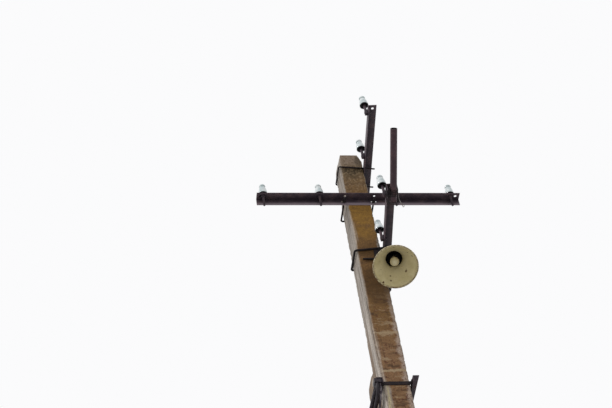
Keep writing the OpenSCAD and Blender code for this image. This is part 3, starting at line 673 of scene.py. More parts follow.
@dataclass(frozen=True)
class DullSkin(Finish):
    """Extruded PVC sheath, or burnt-on soot that also stands for painted shade: dull and dusty, bleached in
    patches by the sun.
    """

    sheath: str
    bleached: str
    gloss: float = 0.3

    def build(self) -> Material:
        """Builds the skin.

        Returns:
            The material.
        """
        material, tree, place = self.start()
        cloud = add(tree, "TexNoise", {"Vector": place, "Scale": per_mm(28), "Detail": 4.0, "Roughness": 0.6})
        fine = add(tree, "TexNoise", {"Vector": place, "Scale": per_mm(4), "Detail": 3.0}).outputs["Fac"]
        colour = Stain(self.bleached, 0.42, 0.68).over(tree, linear(self.sheath), cloud.outputs["Fac"])
        rough = add(tree, "MapRange", {0: fine, 3: 0.42, 4: 0.65}).outputs[0]
        bump = add(tree, "Bump", {"Height": fine, "Strength": 0.2, "Distance": 0.2 * MM}).outputs[0]
        self.close(tree, Base_Color=colour, Roughness=rough, Normal=bump, Specular_IOR_Level=self.gloss)
        return material


class Finishes:
    """The object's materials, one of each."""

    def __init__(self) -> None:
        """Builds every material."""
        # Each paint's soot colour is also the painted shade in its inside corners.
        tube = PaintedSteel(
            "bitumen_painted_tube",
            paint="#37232a", chalk="#5e464d", soot="#18120f", rust="#50362c", gloss=0.35,
        )
        bolt = PaintedSteel(
            "black_painted_bolt_steel",
            paint="#1b1518", chalk="#342b2d", soot="#0f0c0d", rust="#452b22", gloss=0.15,
        )
        self.concrete = CastConcrete().build()
        self.steel = PaintedSteel().build()
        self.tube = tube.build()
        self.black_steel = bolt.build()
        self.zinc = DullZinc().build()
        self.porcelain = GlazedPorcelain().build()
        self.enamel = AgedEnamel().build()
        self.glass = FrostedGlass().build()
        # Black of the socket, and of the housing's liner, which is soot and painted shade.
        self.soot = DullSkin("sooty_black_and_painted_shade", "#0e0b0a", "#1a1512").build()
        self.black = DullSkin("black_pvc_sheath", "#1e171d", "#332a31").build()
        self.grey = DullSkin("sun_bleached_grey_pvc", "#443b41", "#938a8c").build()


@dataclass
class SubAssembly:
    """A part of the pole that is built as one, in the object's finishes."""

    finish: Finishes

    def build(self) -> None:
        """Builds its pieces."""
        raise NotImplementedError


# Meshes.


@dataclass
class Shape:
    """Points and faces of one piece, gathered from several bodies."""

    points: list[Vector] = field(default_factory=list)
    faces: list[tuple[int, ...]] = field(default_factory=list)
    smooth: list[bool] = field(default_factory=list)
    slots: list[int] = field(default_factory=list)

    def take(self, points: Iterable[Vector], faces: Iterable[Face], smooth: bool, slot: int) -> None:
        """Adds one closed body.

        Args:
            points: the body's points.
            faces: its faces, numbered from 0.
            smooth: whether its faces are shaded smooth.
            slot: number of the material on those faces.
        """
        first = len(self.points)
        self.points.extend(points)
        for face in faces:
            self.faces.append(tuple(first + k for k in face))
            self.smooth.append(smooth)
            self.slots.append(slot)

    def loft(
        self, rings: Sequence[Sequence[Vector]], smooth: bool = True, closed: bool = False, slot: int = 0
    ) -> None:
        """Joins rings of points into one body.

        Args:
            rings: rings with the same number of points, each anticlockwise seen from the last ring.
            smooth: whether the faces are shaded smooth.
            closed: whether the last ring runs into the first; otherwise both ends are capped.
            slot: number of the material.
        """
        per = len(rings[0])
        last = (len(rings) - 1) * per
        faces: list[tuple[int, ...]] = [] if closed else [tuple(reversed(range(per)))]
        for i in range(len(rings) if closed else len(rings) - 1):
            low, high = i * per, (i + 1) % len(rings) * per
            for k in range(per):
                m = (k + 1) % per
                faces.append((low + k, low + m, high + m, high + k))
        if not closed:
            faces.append(tuple(last + k for k in range(per)))
        self.take([p for ring in rings for p in ring], faces, smooth, slot)

    def lathe(
        self, at: Matrix, profile: Sequence[Point], sides: int, smooth: bool = True, slot: int = 0
    ) -> None:
        """Turns a closed profile of (radius, height) round local Z.

        Args:
            at: the local frame.
            profile: outline of the section, all on one side of the axis; a radius
                of 0 at an end closes the body there.
            sides: number of sides round the axis.
            smooth: whether the faces are shaded smooth.
            slot: number of the material.
        """
        points: list[Vector] = []
        rings: list[list[int]] = []
        for radius, height in profile:
            if radius < 1e-7:
                rings.append([len(points)] * sides)
                points.append(at @ Vector((0, 0, height)))
                continue
            rings.append(list(range(len(points), len(points) + sides)))
            for k in range(sides):
                angle = 2 * math.pi * k / sides
                points.append(at @ Vector((radius * math.cos(angle), radius * math.sin(angle), height)))
        faces = []
        if profile[0][0] > 1e-7:
            rings.append(rings[0])
        for low, high in zip(rings, rings[1:]):
            for k in range(sides):
                m = (k + 1) % sides
                face = [low[k], low[m], high[m], high[k]]
                kept = [v for i, v in enumerate(face) if v not in face[:i]]
                if len(kept) > 2:
                    faces.append(tuple(kept))
        self.take(points, faces, smooth, slot)

    def sweep(
        self, path: Sequence[Vector], radius: float, sides: int, closed: bool = False, slot: int = 0
    ) -> None:
        """Sweeps a round bar along points, without twist.

        Args:
            path: centre line.
            radius: radius of the bar.
            sides: number of sides round it.
            closed: whether the path runs into its own start.
            slot: number of the material.
        """
        count = len(path)
        headings = []
        for i in range(count):
            if closed:
                step = path[(i + 1) % count] - path[i - 1]
            else:
                step = path[min(i + 1, count - 1)] - path[max(i - 1, 0)]
            headings.append(step.normalized())
        side = headings[0].orthogonal().normalized()
        angles = [2 * math.pi * k / sides for k in range(sides)]
        rings = []
        for centre, heading in zip(path, headings):
            side = (side - heading * side.dot(heading)).normalized()
            other = heading.cross(side)
            rings.append([centre + radius * (math.cos(a) * side + math.sin(a) * other) for a in angles])
        self.loft(rings, True, closed, slot)

    def prism(self, at: Matrix, outline: Sequence[Point], low: float, high: float, chamfer: float) -> None:
        """Raises an outline along local Z, with its two rims chamfered.

        Args:
            at: the local frame.
            outline: points (x, y) in order, anticlockwise.
            low: lower end.
            high: upper end.
            chamfer: size of the chamfer on both rims.
        """
        centre = Vector((sum(p[0] for p in outline), sum(p[1] for p in outline))) / len(outline)
        rings = []
        for height, inset in ((low, chamfer), (low + chamfer, 0), (high - chamfer, 0), (high, chamfer)):
            ring = []
            for x, y in outline:
                flat = Vector((x, y)) - centre
                flat *= max(0.0, 1 - inset / max(flat.length, 1e-6))
                ring.append(at @ Vector((centre.x + flat.x, centre.y + flat.y, height)))
            rings.append(ring)
        self.loft(rings, smooth=False)

    def hex_nut(self, at: Matrix, size: float, height: float) -> None:
        """Adds a hexagon nut on local Z: across flats 1.5 sizes, rims chamfered.

        Args:
            at: the local frame, on the nut's lower face.
            size: thread diameter.
            height: height of the nut.
        """
        reach = size * 0.865
        angles = [math.radians(60 * k) for k in range(6)]
        outline = [(reach * math.cos(angle), reach * math.sin(angle)) for angle in angles]
        self.prism(at, outline, 0.0, height, size * 0.08)

    def thread(self, at: Matrix, radius: float, low: float, high: float, pitch: float = 0.0025) -> None:
        """Adds a threaded end as a turned bar with one groove for each pitch.

        Args:
            at: the local frame, its Z along the bar.
            radius: outer radius.
            low: where the thread starts.
            high: where it ends, with a chamfer.
            pitch: distance between grooves.
        """
        root = radius * 0.86
        profile: list[Point] = [(0.0, low), (root, low)]
        turns = max(2, int((high - low) / pitch))
        step = (high - low) / turns
        for i in range(turns):
            profile.append((radius, low + step * (i + 0.5)))
            profile.append((root, low + step * (i + 1)))
        profile.append((0.0, high + radius * 0.15))
        self.lathe(at, profile, 20, False)

    def piece(self, name: str, materials: Sequence[Material], replaces: str) -> None:
        """Makes the Blender object, rides it on the pole and hides the CAD node that it stands for.

        Args:
            name: the object's name.
            materials: the materials, in the order of their numbers.
            replaces: the CAD node that it stands for.
        """
        mesh = bpy.data.meshes.new(name)
        mesh.from_pydata([tuple(p) for p in self.points], [], self.faces)
        mesh.validate()
        mesh.update()
        for material in materials:
            mesh.materials.append(material)
        # Validation may drop a broken face, and the two lists would then no longer match.
        if len(mesh.polygons) == len(self.faces):
            mesh.polygons.foreach_set("use_smooth", self.smooth)
            mesh.polygons.foreach_set("material_index", self.slots)
        result = bpy.data.objects.new(name, mesh)
        bpy.context.scene.collection.objects.link(result)
        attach(result, "root")
        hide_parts(replaces)
        log.info("%s: %d faces", name, len(mesh.polygons))


def smooth_path(points: Sequence[Point], each: int) -> list[Vector]:
    """Draws a smooth curve through points.

    Args:
        points: the points that it passes, in metres.
        each: steps between two of them.

    Returns:
        Points along a centripetal Catmull-Rom curve.
    """
    knots = [Vector(p) for p in points]
    knots = [knots[0] * 2 - knots[1], *knots, knots[-1] * 2 - knots[-2]]
    curve = []
    for a, b, c, d in zip(knots, knots[1:], knots[2:], knots[3:]):
        t1 = max((b - a).length, 1e-6) ** 0.5
        t2 = t1 + max((c - b).length, 1e-6) ** 0.5
        t3 = t2 + max((d - c).length, 1e-6) ** 0.5
        for k in range(each):
            t = t1 + (t2 - t1) * k / each
            a1 = a * ((t1 - t) / t1) + b * (t / t1)
            a2 = b * ((t2 - t) / (t2 - t1)) + c * ((t - t1) / (t2 - t1))
            a3 = c * ((t3 - t) / (t3 - t2)) + d * ((t - t2) / (t3 - t2))
            b1 = a1 * ((t2 - t) / t2) + a2 * (t / t2)
            b2 = a2 * ((t3 - t) / (t3 - t1)) + a3 * ((t - t1) / (t3 - t1))
            curve.append(b1 * ((t2 - t) / (t2 - t1)) + b2 * ((t - t1) / (t2 - t1)))
    curve.append(knots[-2].copy())
    return curve


def rounded(points: Sequence[Vector], radius: float, steps: int = 6) -> list[Vector]:
    """Rounds the corners of a closed loop of straight runs.

    Args:
        points: the loop's corners.
        radius: how far from a corner its curve starts.
        steps: points on each curve.

    Returns:
        The rounded loop.
    """
    loop = []
    count = len(points)
    for i, corner in enumerate(points):
        before = corner + (points[i - 1] - corner).normalized() * radius
        after = corner + (points[(i + 1) % count] - corner).normalized() * radius
        for k in range(steps + 1):
            t = k / steps
            loop.append(before * (1 - t) ** 2 + corner * 2 * t * (1 - t) + after * t**2)
    return loop


# Concrete members.


def rough_field(p: Vector, size: float) -> float:
    """Gives smooth noise between about -1 and 1 at a point, with features of `size` metres."""
    return noise.fractal(p / size, 0.6, 2.0, 4, noise_basis="PERLIN_ORIGINAL")


@dataclass(frozen=True)
class CastSkin:
    """How a cast face strays from flat: long waves of the mould, and grit on them."""

    wave: float
    wave_size: float
    grit: float
    grit_size: float
    grit_offset: Point

    def height(self, p: Vector) -> float:
        """Gives how far the skin stands over the true face at a point."""
        waves = self.wave * rough_field(p, self.wave_size)
        return waves + self.grit * rough_field(p + Vector(self.grit_offset), self.grit_size)


@dataclass
class Shaft(SubAssembly):
    """The pole: a cast trapezoid with worn edges, small spalls and broken top corners.

    Attributes:
        right_break: what the right top corner lost across, in depth and in height.
        left_break: the same for the left top corner.
        divisions: steps on each side of the section, from the left front arris round.
    """

    back_chamfer: float = 0.004
    divisions: tuple[int, ...] = (15, 2, 14, 1, 15, 1, 14, 2)
    right_break: Point = (0.030, 0.045, 0.085)
    left_break: Point = (0.018, 0.260, 0.100)
    break_roughness: float = 0.0022
    break_grain: float = 0.014
    skin: CastSkin = CastSkin(0.0009, 0.16, 0.0005, 0.03, (3, 1, 2))
    spall_size: float = 0.05
    spall_depth: float = 0.0035
    spall_from: float = 0.12
    spall_slope: float = 0.011
    fine_from: float = 5.9
    fine_step: float = 0.011
    coarse_step: float = 0.03
    top_rim: float = 0.003
    top_roughness: float = 0.0035
    top_grain: float = 0.03
    cap_rings: int = 7

    def outline(self, z: float) -> list[tuple[float, float, float]]:
        """Gives the section at a height.

        Args:
            z: the height.

        Returns:
            Points (x, y, edge), where edge is 1 on an arris and 0 on a flat.
        """
        front, back = POLE.front_y(z), POLE.back_y(z)
        wf, wb = POLE.side_x(front), POLE.side_x(back)
        c, w = POLE.chamfer, self.back_chamfer
        corners = [
            (-wf + c, front), (wf - c, front), (wf, front + c), (wb, back - w),
            (wb - w, back), (-wb + w, back), (-wb, back - w), (-wf, front + c),
        ]
        ring = []
        for (x0, y0), (x1, y1), count in zip(corners, corners[1:] + corners[:1], self.divisions):
            for k in range(count):
                t = k / count
                edge = max(0.0, 1 - min(t, 1 - t) * count / 1.5) if count > 2 else 1.0
                ring.append((x0 + (x1 - x0) * t, y0 + (y1 - y0) * t, edge))
        return ring

    def worn(self, p: Vector, edge: float) -> Vector:
        """Moves a point of the surface to where wear and casting left it.

        Args:
            p: the point on the true shape.
            edge: 1 on an arris and 0 on a flat.

        Returns:
            The worn point.
        """
        depth = self.skin.height(p)
        # Spalls are longer up the pole than across it.
        spall = rough_field(Vector((p.x * 3, p.y * 3, p.z * 1.2)) + Vector((7, 4, 9)), self.spall_size)
        if edge > 0.3 and spall > self.spall_from:
            depth -= min(self.spall_depth, (spall - self.spall_from) * self.spall_slope) * edge
        return self.broken(p + Vector((p.x, p.y, 0)).normalized() * depth)

    def broken(self, p: Vector) -> Vector:
        """Lays a point that lies beyond a broken top corner on its rough fracture.

        Args:
            p: a point of the surface.

        Returns:
            The point, moved only if it lay beyond a fracture.
        """
        top, front = POLE.height, POLE.front_y(POLE.height)
        rough = self.break_roughness * rough_field(p + Vector((1, 5, 3)), self.break_grain)
        for side, (across, deep, high) in ((1, self.right_break), (-1, self.left_break)):
            corner = Vector((side * POLE.side_x(front), front, top))
            slope = Vector((side / across, -1 / deep, 1 / high))
            away = ((p - corner).dot(slope) + 1) / slope.length
            if away > rough:
                p = p - slope / slope.length * (away - rough)
        return p

    def top_face(self) -> list[list[Vector]]:
        """Shapes the rough top face.

        Returns:
            Its rings, from the edge to the middle.
        """
        rings = []
        for k in range(1, self.cap_rings + 1):
            keep = 0.988 - 0.985 * (k / self.cap_rings) ** 1.4
            ring = []
            for x, y, _ in self.outline(POLE.height):
                p = Vector((x * keep, y * keep, POLE.height))
                p.z -= abs(self.top_roughness * rough_field(p, self.top_grain)) + 0.0004
                ring.append(self.broken(p))
            rings.append(ring)
        return rings

    def build(self) -> None:
        """Builds the shaft, in fine rings where the photograph shows it."""
        heights = [self.coarse_step * i for i in range(int(self.fine_from / self.coarse_step))]
        count = int((POLE.height - 2 * self.top_rim - self.fine_from) / self.fine_step)
        heights += [self.fine_from + self.fine_step * i for i in range(count + 1)]
        heights += [POLE.height - self.top_rim]
        rings = []
        for z in heights:
            flat = [(Vector((x, y, z)), edge) for x, y, edge in self.outline(z)]
            rings.append([self.worn(p, edge) if z > 0 else p for p, edge in flat])
        shape = Shape()
        shape.loft(rings + self.top_face())
        shape.piece("shaft_cast", [self.finish.concrete], "pole_shaft")


@dataclass
class RakingStrut(SubAssembly):
    """The strut: a tapered concrete member let in to the pole's back.

    Attributes:
        lean: degrees that it leans.
        swing: degrees that its foot is turned to the left.
        head: height of its head.
        growth: how much wider it gets for each metre along it.
        let_in: depth of the notch that bears on the pole.
        divisions: steps on each side of the section.
        swell: how far the left side of its head bulges above `swell_from`.
        pits: depth of the worn pits on an arris, and near the head.
        round_off: how far the head's edge is rounded, and how much more on an arris.
    """

    lean: float = 23.5
    swing: float = 8.0
    head: float = 7.095
    width: float = 0.150
    depth: float = 0.175
    growth: float = 0.0079
    head_x: float = 0.011
    let_in: float = 0.027
    step: float = 0.02
    divisions: int = 11
    cap_rings: int = 6
    skin: CastSkin = CastSkin(0.0011, 0.14, 0.0006, 0.03, (5, 2, 1))
    swell: float = 0.011
    swell_from: float = 6.86
    pits: tuple[float, float] = (0.005, 0.004)
    round_off: tuple[float, float] = (0.004, 0.008)

    @property
    def along(self) -> Vector:
        """Level direction of the lean."""
        return Vector((-math.sin(math.radians(self.swing)), math.cos(math.radians(self.swing)), 0))

    @property
    def side(self) -> Vector:
        """Level direction across the strut."""
        return Vector((math.cos(math.radians(self.swing)), math.sin(math.radians(self.swing)), 0))

    def centre(self, z: float) -> Vector:
        """Finds the strut's axis.

        Args:
            z: the height.

        Returns:
            The axis point at that height.
        """
        start = POLE.back_y(self.head) - self.let_in + self.depth / 2 / math.cos(math.radians(self.lean))
        run = (self.head - z) * math.tan(math.radians(self.lean))
        swing = math.radians(self.swing)
        return Vector((self.head_x - math.sin(swing) * run, start + math.cos(swing) * run, z))

    def halves(self, z: float) -> tuple[float, float]:
        """Measures the strut's section, cut level.

        Args:
            z: the height.

        Returns:
            Half the width and half the depth.
        """
        down = (self.head - z) / math.cos(math.radians(self.lean))
        grown = self.growth * down
        return (self.width + grown) / 2, (self.depth + grown) / 2 / math.cos(math.radians(self.lean))

    def build(self) -> None:
        """Builds the strut."""
        square = [(-1, -1), (1, -1), (1, 1), (-1, 1)]
        unit = []
        for (x0, y0), (x1, y1) in zip(square, square[1:] + square[:1]):
            for k in range(self.divisions):
                t = k / self.divisions
                unit.append((x0 + (x1 - x0) * t, y0 + (y1 - y0) * t, 1.0 if k == 0 else 0.0))
        count = int(self.head / self.step)
        rings = [self.ring(unit, self.head * i / count, 1.0) for i in range(count + 1)]
        for k in range(1, self.cap_rings + 1):
            rings.append(self.ring(unit, self.head, 1 - 0.985 * (k / self.cap_rings) ** 1.2))
        shape = Shape()
        shape.loft(rings)
        shape.piece("strut_cast", [self.finish.concrete], "strut")

    def wear(self, p: Vector, z: float, left: bool, edge: float) -> float:
        """Gives how far the surface stands out of the true one, less where it is worn.

        Args:
            p: the point on the true shape.
            z: its height.
            left: whether it is on the strut's left half.
            edge: 1 on an arris and 0 on a flat.

        Returns:
            The distance, below 0 where the surface is worn back.
        """
        down = self.head - z
        wear = self.skin.height(p)
        near_head = max(0.0, 1 - down / 0.16)
        pitted = self.pits[0] * edge + self.pits[1] * near_head
        wear -= pitted * max(0.0, 0.3 + rough_field(p * 1.3, 0.045))
        wear -= (self.round_off[0] + self.round_off[1] * edge) * max(0.0, 1 - down / 0.035) ** 2
        if left and z > self.swell_from:
            lump = max(0.0, 1 - abs(down - 0.075) / 0.065) + 0.7 * max(0.0, rough_field(p, 0.05))
            wear += self.swell * min(1.0, lump, (z - self.swell_from) / 0.03)
        return wear

    def ring(self, unit: Sequence[tuple[float, float, float]], z: float, keep: float) -> list[Vector]:
        """Gives one level ring of the strut.

        Args:
            unit: the square outline with its arris marks.
            z: the ring's height.
            keep: share of the full size, below 1 on the head's face.

        Returns:
            The ring's points, clear of the pole's back face.
        """
        half_w, half_d = self.halves(z)
        ring = []
        for u, v, edge in unit:
            flat = self.side * u * half_w * keep + self.along * v * half_d * keep
            p = self.centre(z) + flat
            wear = self.wear(p, z, u < 0, edge)
            if z > 0:
                p += flat.normalized() * wear
            if keep < 1:
                p.z -= abs(0.005 * rough_field(p, 0.04))
            p.y = max(p.y, POLE.back_y(p.z) + SEAT)
            ring.append(p)
        return ring


# Arms.


class PinOrder(Enum):
    """From which end of an arm its pins' places are counted."""

    FROM_START = 1
    FROM_END = 2


@dataclass
class Arm(SubAssembly):
    """One arm's pins and insulators; the angle iron stays the CAD's own.

    Attributes:
        name: the arm's CAD node.
        at: the arm's frame, X along it and its flange under z = 0.
        places: where its pins stand along it.
        order: from which end those are counted.
        pin_seat: how far a pin goes into its insulator.
    """

    name: str
    at: Matrix
    order: PinOrder = PinOrder.FROM_START
    places: tuple[float, ...] = (0.048, 0.450, 0.995, 1.404)
    pin: float = 0.020
    stud_d: float = 0.016
    washer_thick: float = 0.0025
    pin_seat: float = 0.046
    insulator_h: float = 0.092
    insulator_r: float = 0.032

    def base(self, x: float) -> Matrix:
        """Gives the frame of the insulator's base at a place along the arm."""
        raise NotImplementedError

    def forge(self, pins: Shape, x: float) -> None:
        """Adds the pin at a place along the arm."""
        raise NotImplementedError

    def nut_and_washer(self, pins: Shape, at: Matrix) -> None:
        """Adds a washer and a nut on local Z.

        Args:
            pins: the shape that takes them.
            at: the local frame, on the face that the washer lies on.
        """
        bore, wide, top = self.stud_d / 2, self.stud_d, SEAT + self.washer_thick
        pins.lathe(at, [(bore, SEAT), (wide, SEAT), (wide, top), (bore, top)], 28, False)
        pins.hex_nut(at @ shift(0, 0, top), self.stud_d, self.stud_d * 0.8 - self.washer_thick)

    def shank(self, pins: Shape, at: Matrix, top: float) -> None:
        """Adds a round shank with a small swell at its foot.

        Args:
            pins: the shape that takes it.
            at: the local frame, at the shank's foot.
            top: the shank's length.
        """
        half = self.pin / 2
        outline = [(0, 0), (half * 1.2, 0), (half * 1.06, 0.006), (half, 0.014)]
        outline += [(half, top - 0.002), (half - 0.002, top), (0, top)]
        pins.lathe(at, outline, 28)

    def build(self) -> None:
        """Builds the arm's pins and insulators."""
        pins = Shape()
        places = self.places
        if self.order is PinOrder.FROM_END:
            places = tuple(ANGLE.length - x for x in reversed(places))
        for x in places:
            self.forge(pins, x)
        pins.piece(f"{self.name}_pins_forged", [self.finish.steel], f"{self.name}_pins")
        for i, x in enumerate(places, 1):
            self.insulator(i, self.base(x))

    def insulator(self, number: int, at: Matrix) -> None:
        """Builds one insulator; its outline is in shares of its radius and height.

        Args:
            number: its number on the arm.
            at: its frame, on the skirt's lower rim.
        """
        skirt_inside = [
            (0.42, 0.31), (0.46, 0.2), (0.5, 0.12), (0.58, 0.11), (0.62, 0.15),
            (0.64, 0.27), (0.7, 0.29), (0.78, 0.22), (0.86, 0.055), (0.9, 0.0),
        ]
        bell = [
            (0.98, 0.005), (1.0, 0.045), (0.995, 0.12), (0.965, 0.24), (0.92, 0.36), (0.86, 0.47),
            (0.8, 0.57), (0.755, 0.64), (0.72, 0.675),
        ]
        groove_and_cap = [
            (0.64, 0.7), (0.595, 0.725), (0.58, 0.75), (0.595, 0.78), (0.65, 0.805), (0.7, 0.835),
            (0.715, 0.87), (0.7, 0.92), (0.64, 0.96), (0.5, 0.985), (0.3, 0.997), (0.0, 1.0),
        ]
        bore, depth, mouth = self.pin / 2 + SEAT, self.pin_seat + SEAT, 0.32 * self.insulator_h
        outline = [(0.0, depth), (bore, depth), (bore, mouth)]
        for radius, height in skirt_inside + bell + groove_and_cap:
            outline.append((radius * self.insulator_r, height * self.insulator_h))
        shape = Shape()
        shape.lathe(at, outline, 48)
        name = f"{self.name}_insulator_{number}"
        shape.piece(f"{name}_glazed", [self.finish.porcelain], name)


@dataclass
class Crossarm(Arm):
    """The crossarm's pins: they stand on the flange, long studs under it.

    Attributes:
        gauge: distance of the pins from the arm's heel.
        stud: length of a stud, from the flange's top.
        rise: height of the insulator's base above the flange.
    """

    gauge: float = 0.035
    stud: float = 0.104
    rise: float = 0.012
    collar: float = 0.006

    def base(self, x: float) -> Matrix:
        """Gives the frame of the insulator's base at a place along the arm."""
        return self.at @ shift(x, -self.gauge, self.rise)

    def forge(self, pins: Shape, x: float) -> None:
        """Adds the pin: thread, nut, collar and shank.

        Args:
            pins: the shape that takes it.
            x: place along the arm.
        """
        foot = self.at @ shift(x, -self.gauge, 0)
        half, thick = self.stud_d / 2, ANGLE.thick
        pins.lathe(foot, [(0, -thick), (half, -thick), (half, self.collar), (0, self.collar)], 24)
        down = foot @ turn("X", 180)
        pins.thread(down, half, thick, self.stud)
        self.nut_and_washer(pins, down @ shift(0, 0, thick))
        r, low, high = self.stud_d * 0.9, SEAT, self.collar + SEAT
        ring = [(0, low), (r - 0.001, low), (r, low + 0.001)]
        ring += [(r, high - 0.0015), (r - 0.0015, high), (0, high)]
        pins.lathe(foot, ring, 32)
        inside = self.collar / 2
        self.shank(pins, foot @ shift(0, 0, inside), self.rise + self.pin_seat - inside)


@dataclass
class SideArm(Arm):
    """A side arm's pins: flat feet bolted to the outer face of the upright leg.

    Attributes:
        foot: height of a foot.
        wall: how far a foot stands out past its shank on each side.
        rise: height of the insulator's base above the arm's top.
        lean: degrees that a shank leans to the pole.
        stud: length of the bolt's end inside the leg.
        bolt_z: height of the bolt, from the arm's top.
    """

    foot: float = 0.044
    foot_chamfer: float = 0.0025
    wall: float = 0.001
    rise: float = 0.058
    lean: float = 3.0
    stud: float = 0.018
    bolt_z: float = -0.026

    def start(self, x: float) -> Matrix:
        """Gives the frame of a shank, which starts inside its foot and leans to the pole."""
        middle = SEAT + self.pin / 2 + self.wall
        return self.at @ shift(x, middle, -self.foot / 4) @ turn("X", -self.lean)

    def base(self, x: float) -> Matrix:
        """Gives the frame of the insulator's base at a place along the arm."""
        return self.start(x) @ shift(0, 0, self.foot / 4 + self.rise)

    def forge(self, pins: Shape, x: float) -> None:
        """Adds the pin: flat foot, bolt through the leg, nut, and shank.

        Args:
            pins: the shape that takes it.
            x: place along the arm.
        """
        wide, outer = self.pin / 2 + 0.002, SEAT + self.pin + 2 * self.wall
        block = [(x - wide, SEAT), (x + wide, SEAT), (x + wide, outer), (x - wide, outer)]
        pins.prism(self.at, block, -self.foot, 0, self.foot_chamfer)
        self.shank(pins, self.start(x), self.foot / 4 + self.rise + self.pin_seat)
        inward = self.at @ shift(x, 0, self.bolt_z) @ turn("X", 90)
        half, thick = self.stud_d / 2, ANGLE.thick
        pins.lathe(inward, [(0, -0.004), (half, -0.004), (half, thick), (0, thick)], 24)
        pins.thread(inward, half, thick, thick + self.stud)
        self.nut_and_washer(pins, inward @ shift(0, 0, thick))
        bolt_head = self.at @ shift(x, outer - 0.0005, self.bolt_z) @ turn("X", -90)
        pins.hex_nut(bolt_head, 0.010, 0.003)


@dataclass
class BentBolt(SubAssembly):
    """A square U-bolt of round bar with threaded ends, washers and nuts.

    Attributes:
        name: its CAD node.
        at: its frame, in the middle of the bend's outside; X points from the nuts to it.
        bar: diameter of the bar.
        span: distance between the middles of its legs.
        seats: how far back each leg's washer lies, the leg at -Y first.
        tail: how far the legs stick out past that.
        inside: inner radius of the bends.
        washer: washers' width in bars.
    """

    name: str
    at: Matrix
    bar: float
    span: float
    seats: tuple[float, float]
    tail: float
    inside: float = 0.006
    washer: float = 2.2
    bend_steps: int = 8

    def build(self) -> None:
        """Builds the U-bolt."""
        half, radius = self.span / 2, self.bar / 2
        reach = self.inside + radius
        legs = [(side, seat, seat + self.tail) for side, seat in zip((-1, 1), self.seats)]
        path = [Vector((-legs[0][2], -half, 0))]
        for side, first in ((-1, -90), (1, 0)):
            for k in range(self.bend_steps + 1):
                angle = math.radians(first + 90 * k / self.bend_steps)
                x = -reach + reach * math.cos(angle)
                path.append(Vector((x, side * (half - reach) + reach * math.sin(angle), 0)))
        path.append(Vector((-legs[1][2], half, 0)))
        shape = Shape()
        shape.sweep([self.at @ p for p in path], radius, 20)
        disc, wide = self.bar * 0.2, self.bar * self.washer / 2
        for side, seat, leg in legs:
            base = self.at @ shift(0, side * half, 0) @ turn("Y", -90)
            shape.thread(base, radius + 0.0004, seat + self.bar * 0.9, leg + 0.0005)
            ring = [(radius, seat), (wide, seat), (wide, seat + disc), (radius, seat + disc)]
            shape.lathe(base, ring, 30, False)
            shape.hex_nut(base @ shift(0, 0, seat + disc), self.bar, self.bar * 0.8)
        shape.piece(f"{self.name}_bent", [self.finish.black_steel], self.name)


@dataclass(frozen=True)
class SideArmFit:
    """How a side arm and its U-bolt sit on the pole's right side.

    Attributes:
        z: height of the arm's top.
        gap: distance between its heel and the pole's corner.
        off: degrees off square.
        reach: length in front of the corner.
        bar: diameter of its U-bolt.
        drop: how far below the arm's top the bolt meets the arm.
        rise: degrees that the bolt rises toward the arm.
        tail: length of the bolt past the arm's face.
    """

    z: float
    gap: float
    off: float
    reach: float
    bar: float
    drop: float
    rise: float
    tail: float
    slack: float = 0.002

    @property
    def corner(self) -> tuple[float, float, float]:
        """Where the arm's heel passes the pole's front corner."""
        y = POLE.front_y(self.z) + POLE.chamfer
        return POLE.side_x(y) + self.gap, y, self.z

    @property
    def frame(self) -> Matrix:
        """The arm's frame, its X along the arm toward the back."""
        return shift(*self.corner) @ turn("Z", 90 - self.off) @ shift(-self.reach, 0, 0)

    def face(self, y: float) -> float:
        """Finds the arm's inner face.

        Args:
            y: the depth.

        Returns:
            Its X at that depth.
        """
        x, corner_y, _ = self.corner
        lean = math.radians(self.off)
        return x + (y - corner_y) * math.tan(lean) + ANGLE.thick / math.cos(lean)

    def bolt(self, finish: Finishes, name: str, start: float) -> BentBolt:
        """Gives the arm's U-bolt, as the CAD places it.

        Args:
            finish: the object's materials.
            name: the CAD node.
            start: X of the pole's left side, which the bolt's bar lies beside.

        Returns:
            The bolt.
        """
        start -= self.slack + self.bar / 2
        slope = math.tan(math.radians(self.rise))
        z = self.z - self.drop - (self.face(POLE.front_y(self.z)) - start) * slope
        span = 2 * (POLE.back_y(z) + self.slack) + self.bar
        spread = self.bar * BentBolt.washer / 2 * (abs(slope) + math.tan(math.radians(self.off)))
        # The bolt's frame is turned half round, so that its leg at -Y is the one behind the pole.
        behind, before = (
            (self.face(y) - start) / math.cos(math.radians(self.rise)) + spread + SEAT
            for y in (span / 2, -span / 2)
        )
        at = shift(start, 0, z) @ turn("Z", 180) @ turn("Y", self.rise)
        return BentBolt(finish, name, at, self.bar, span, (behind, before), self.tail)


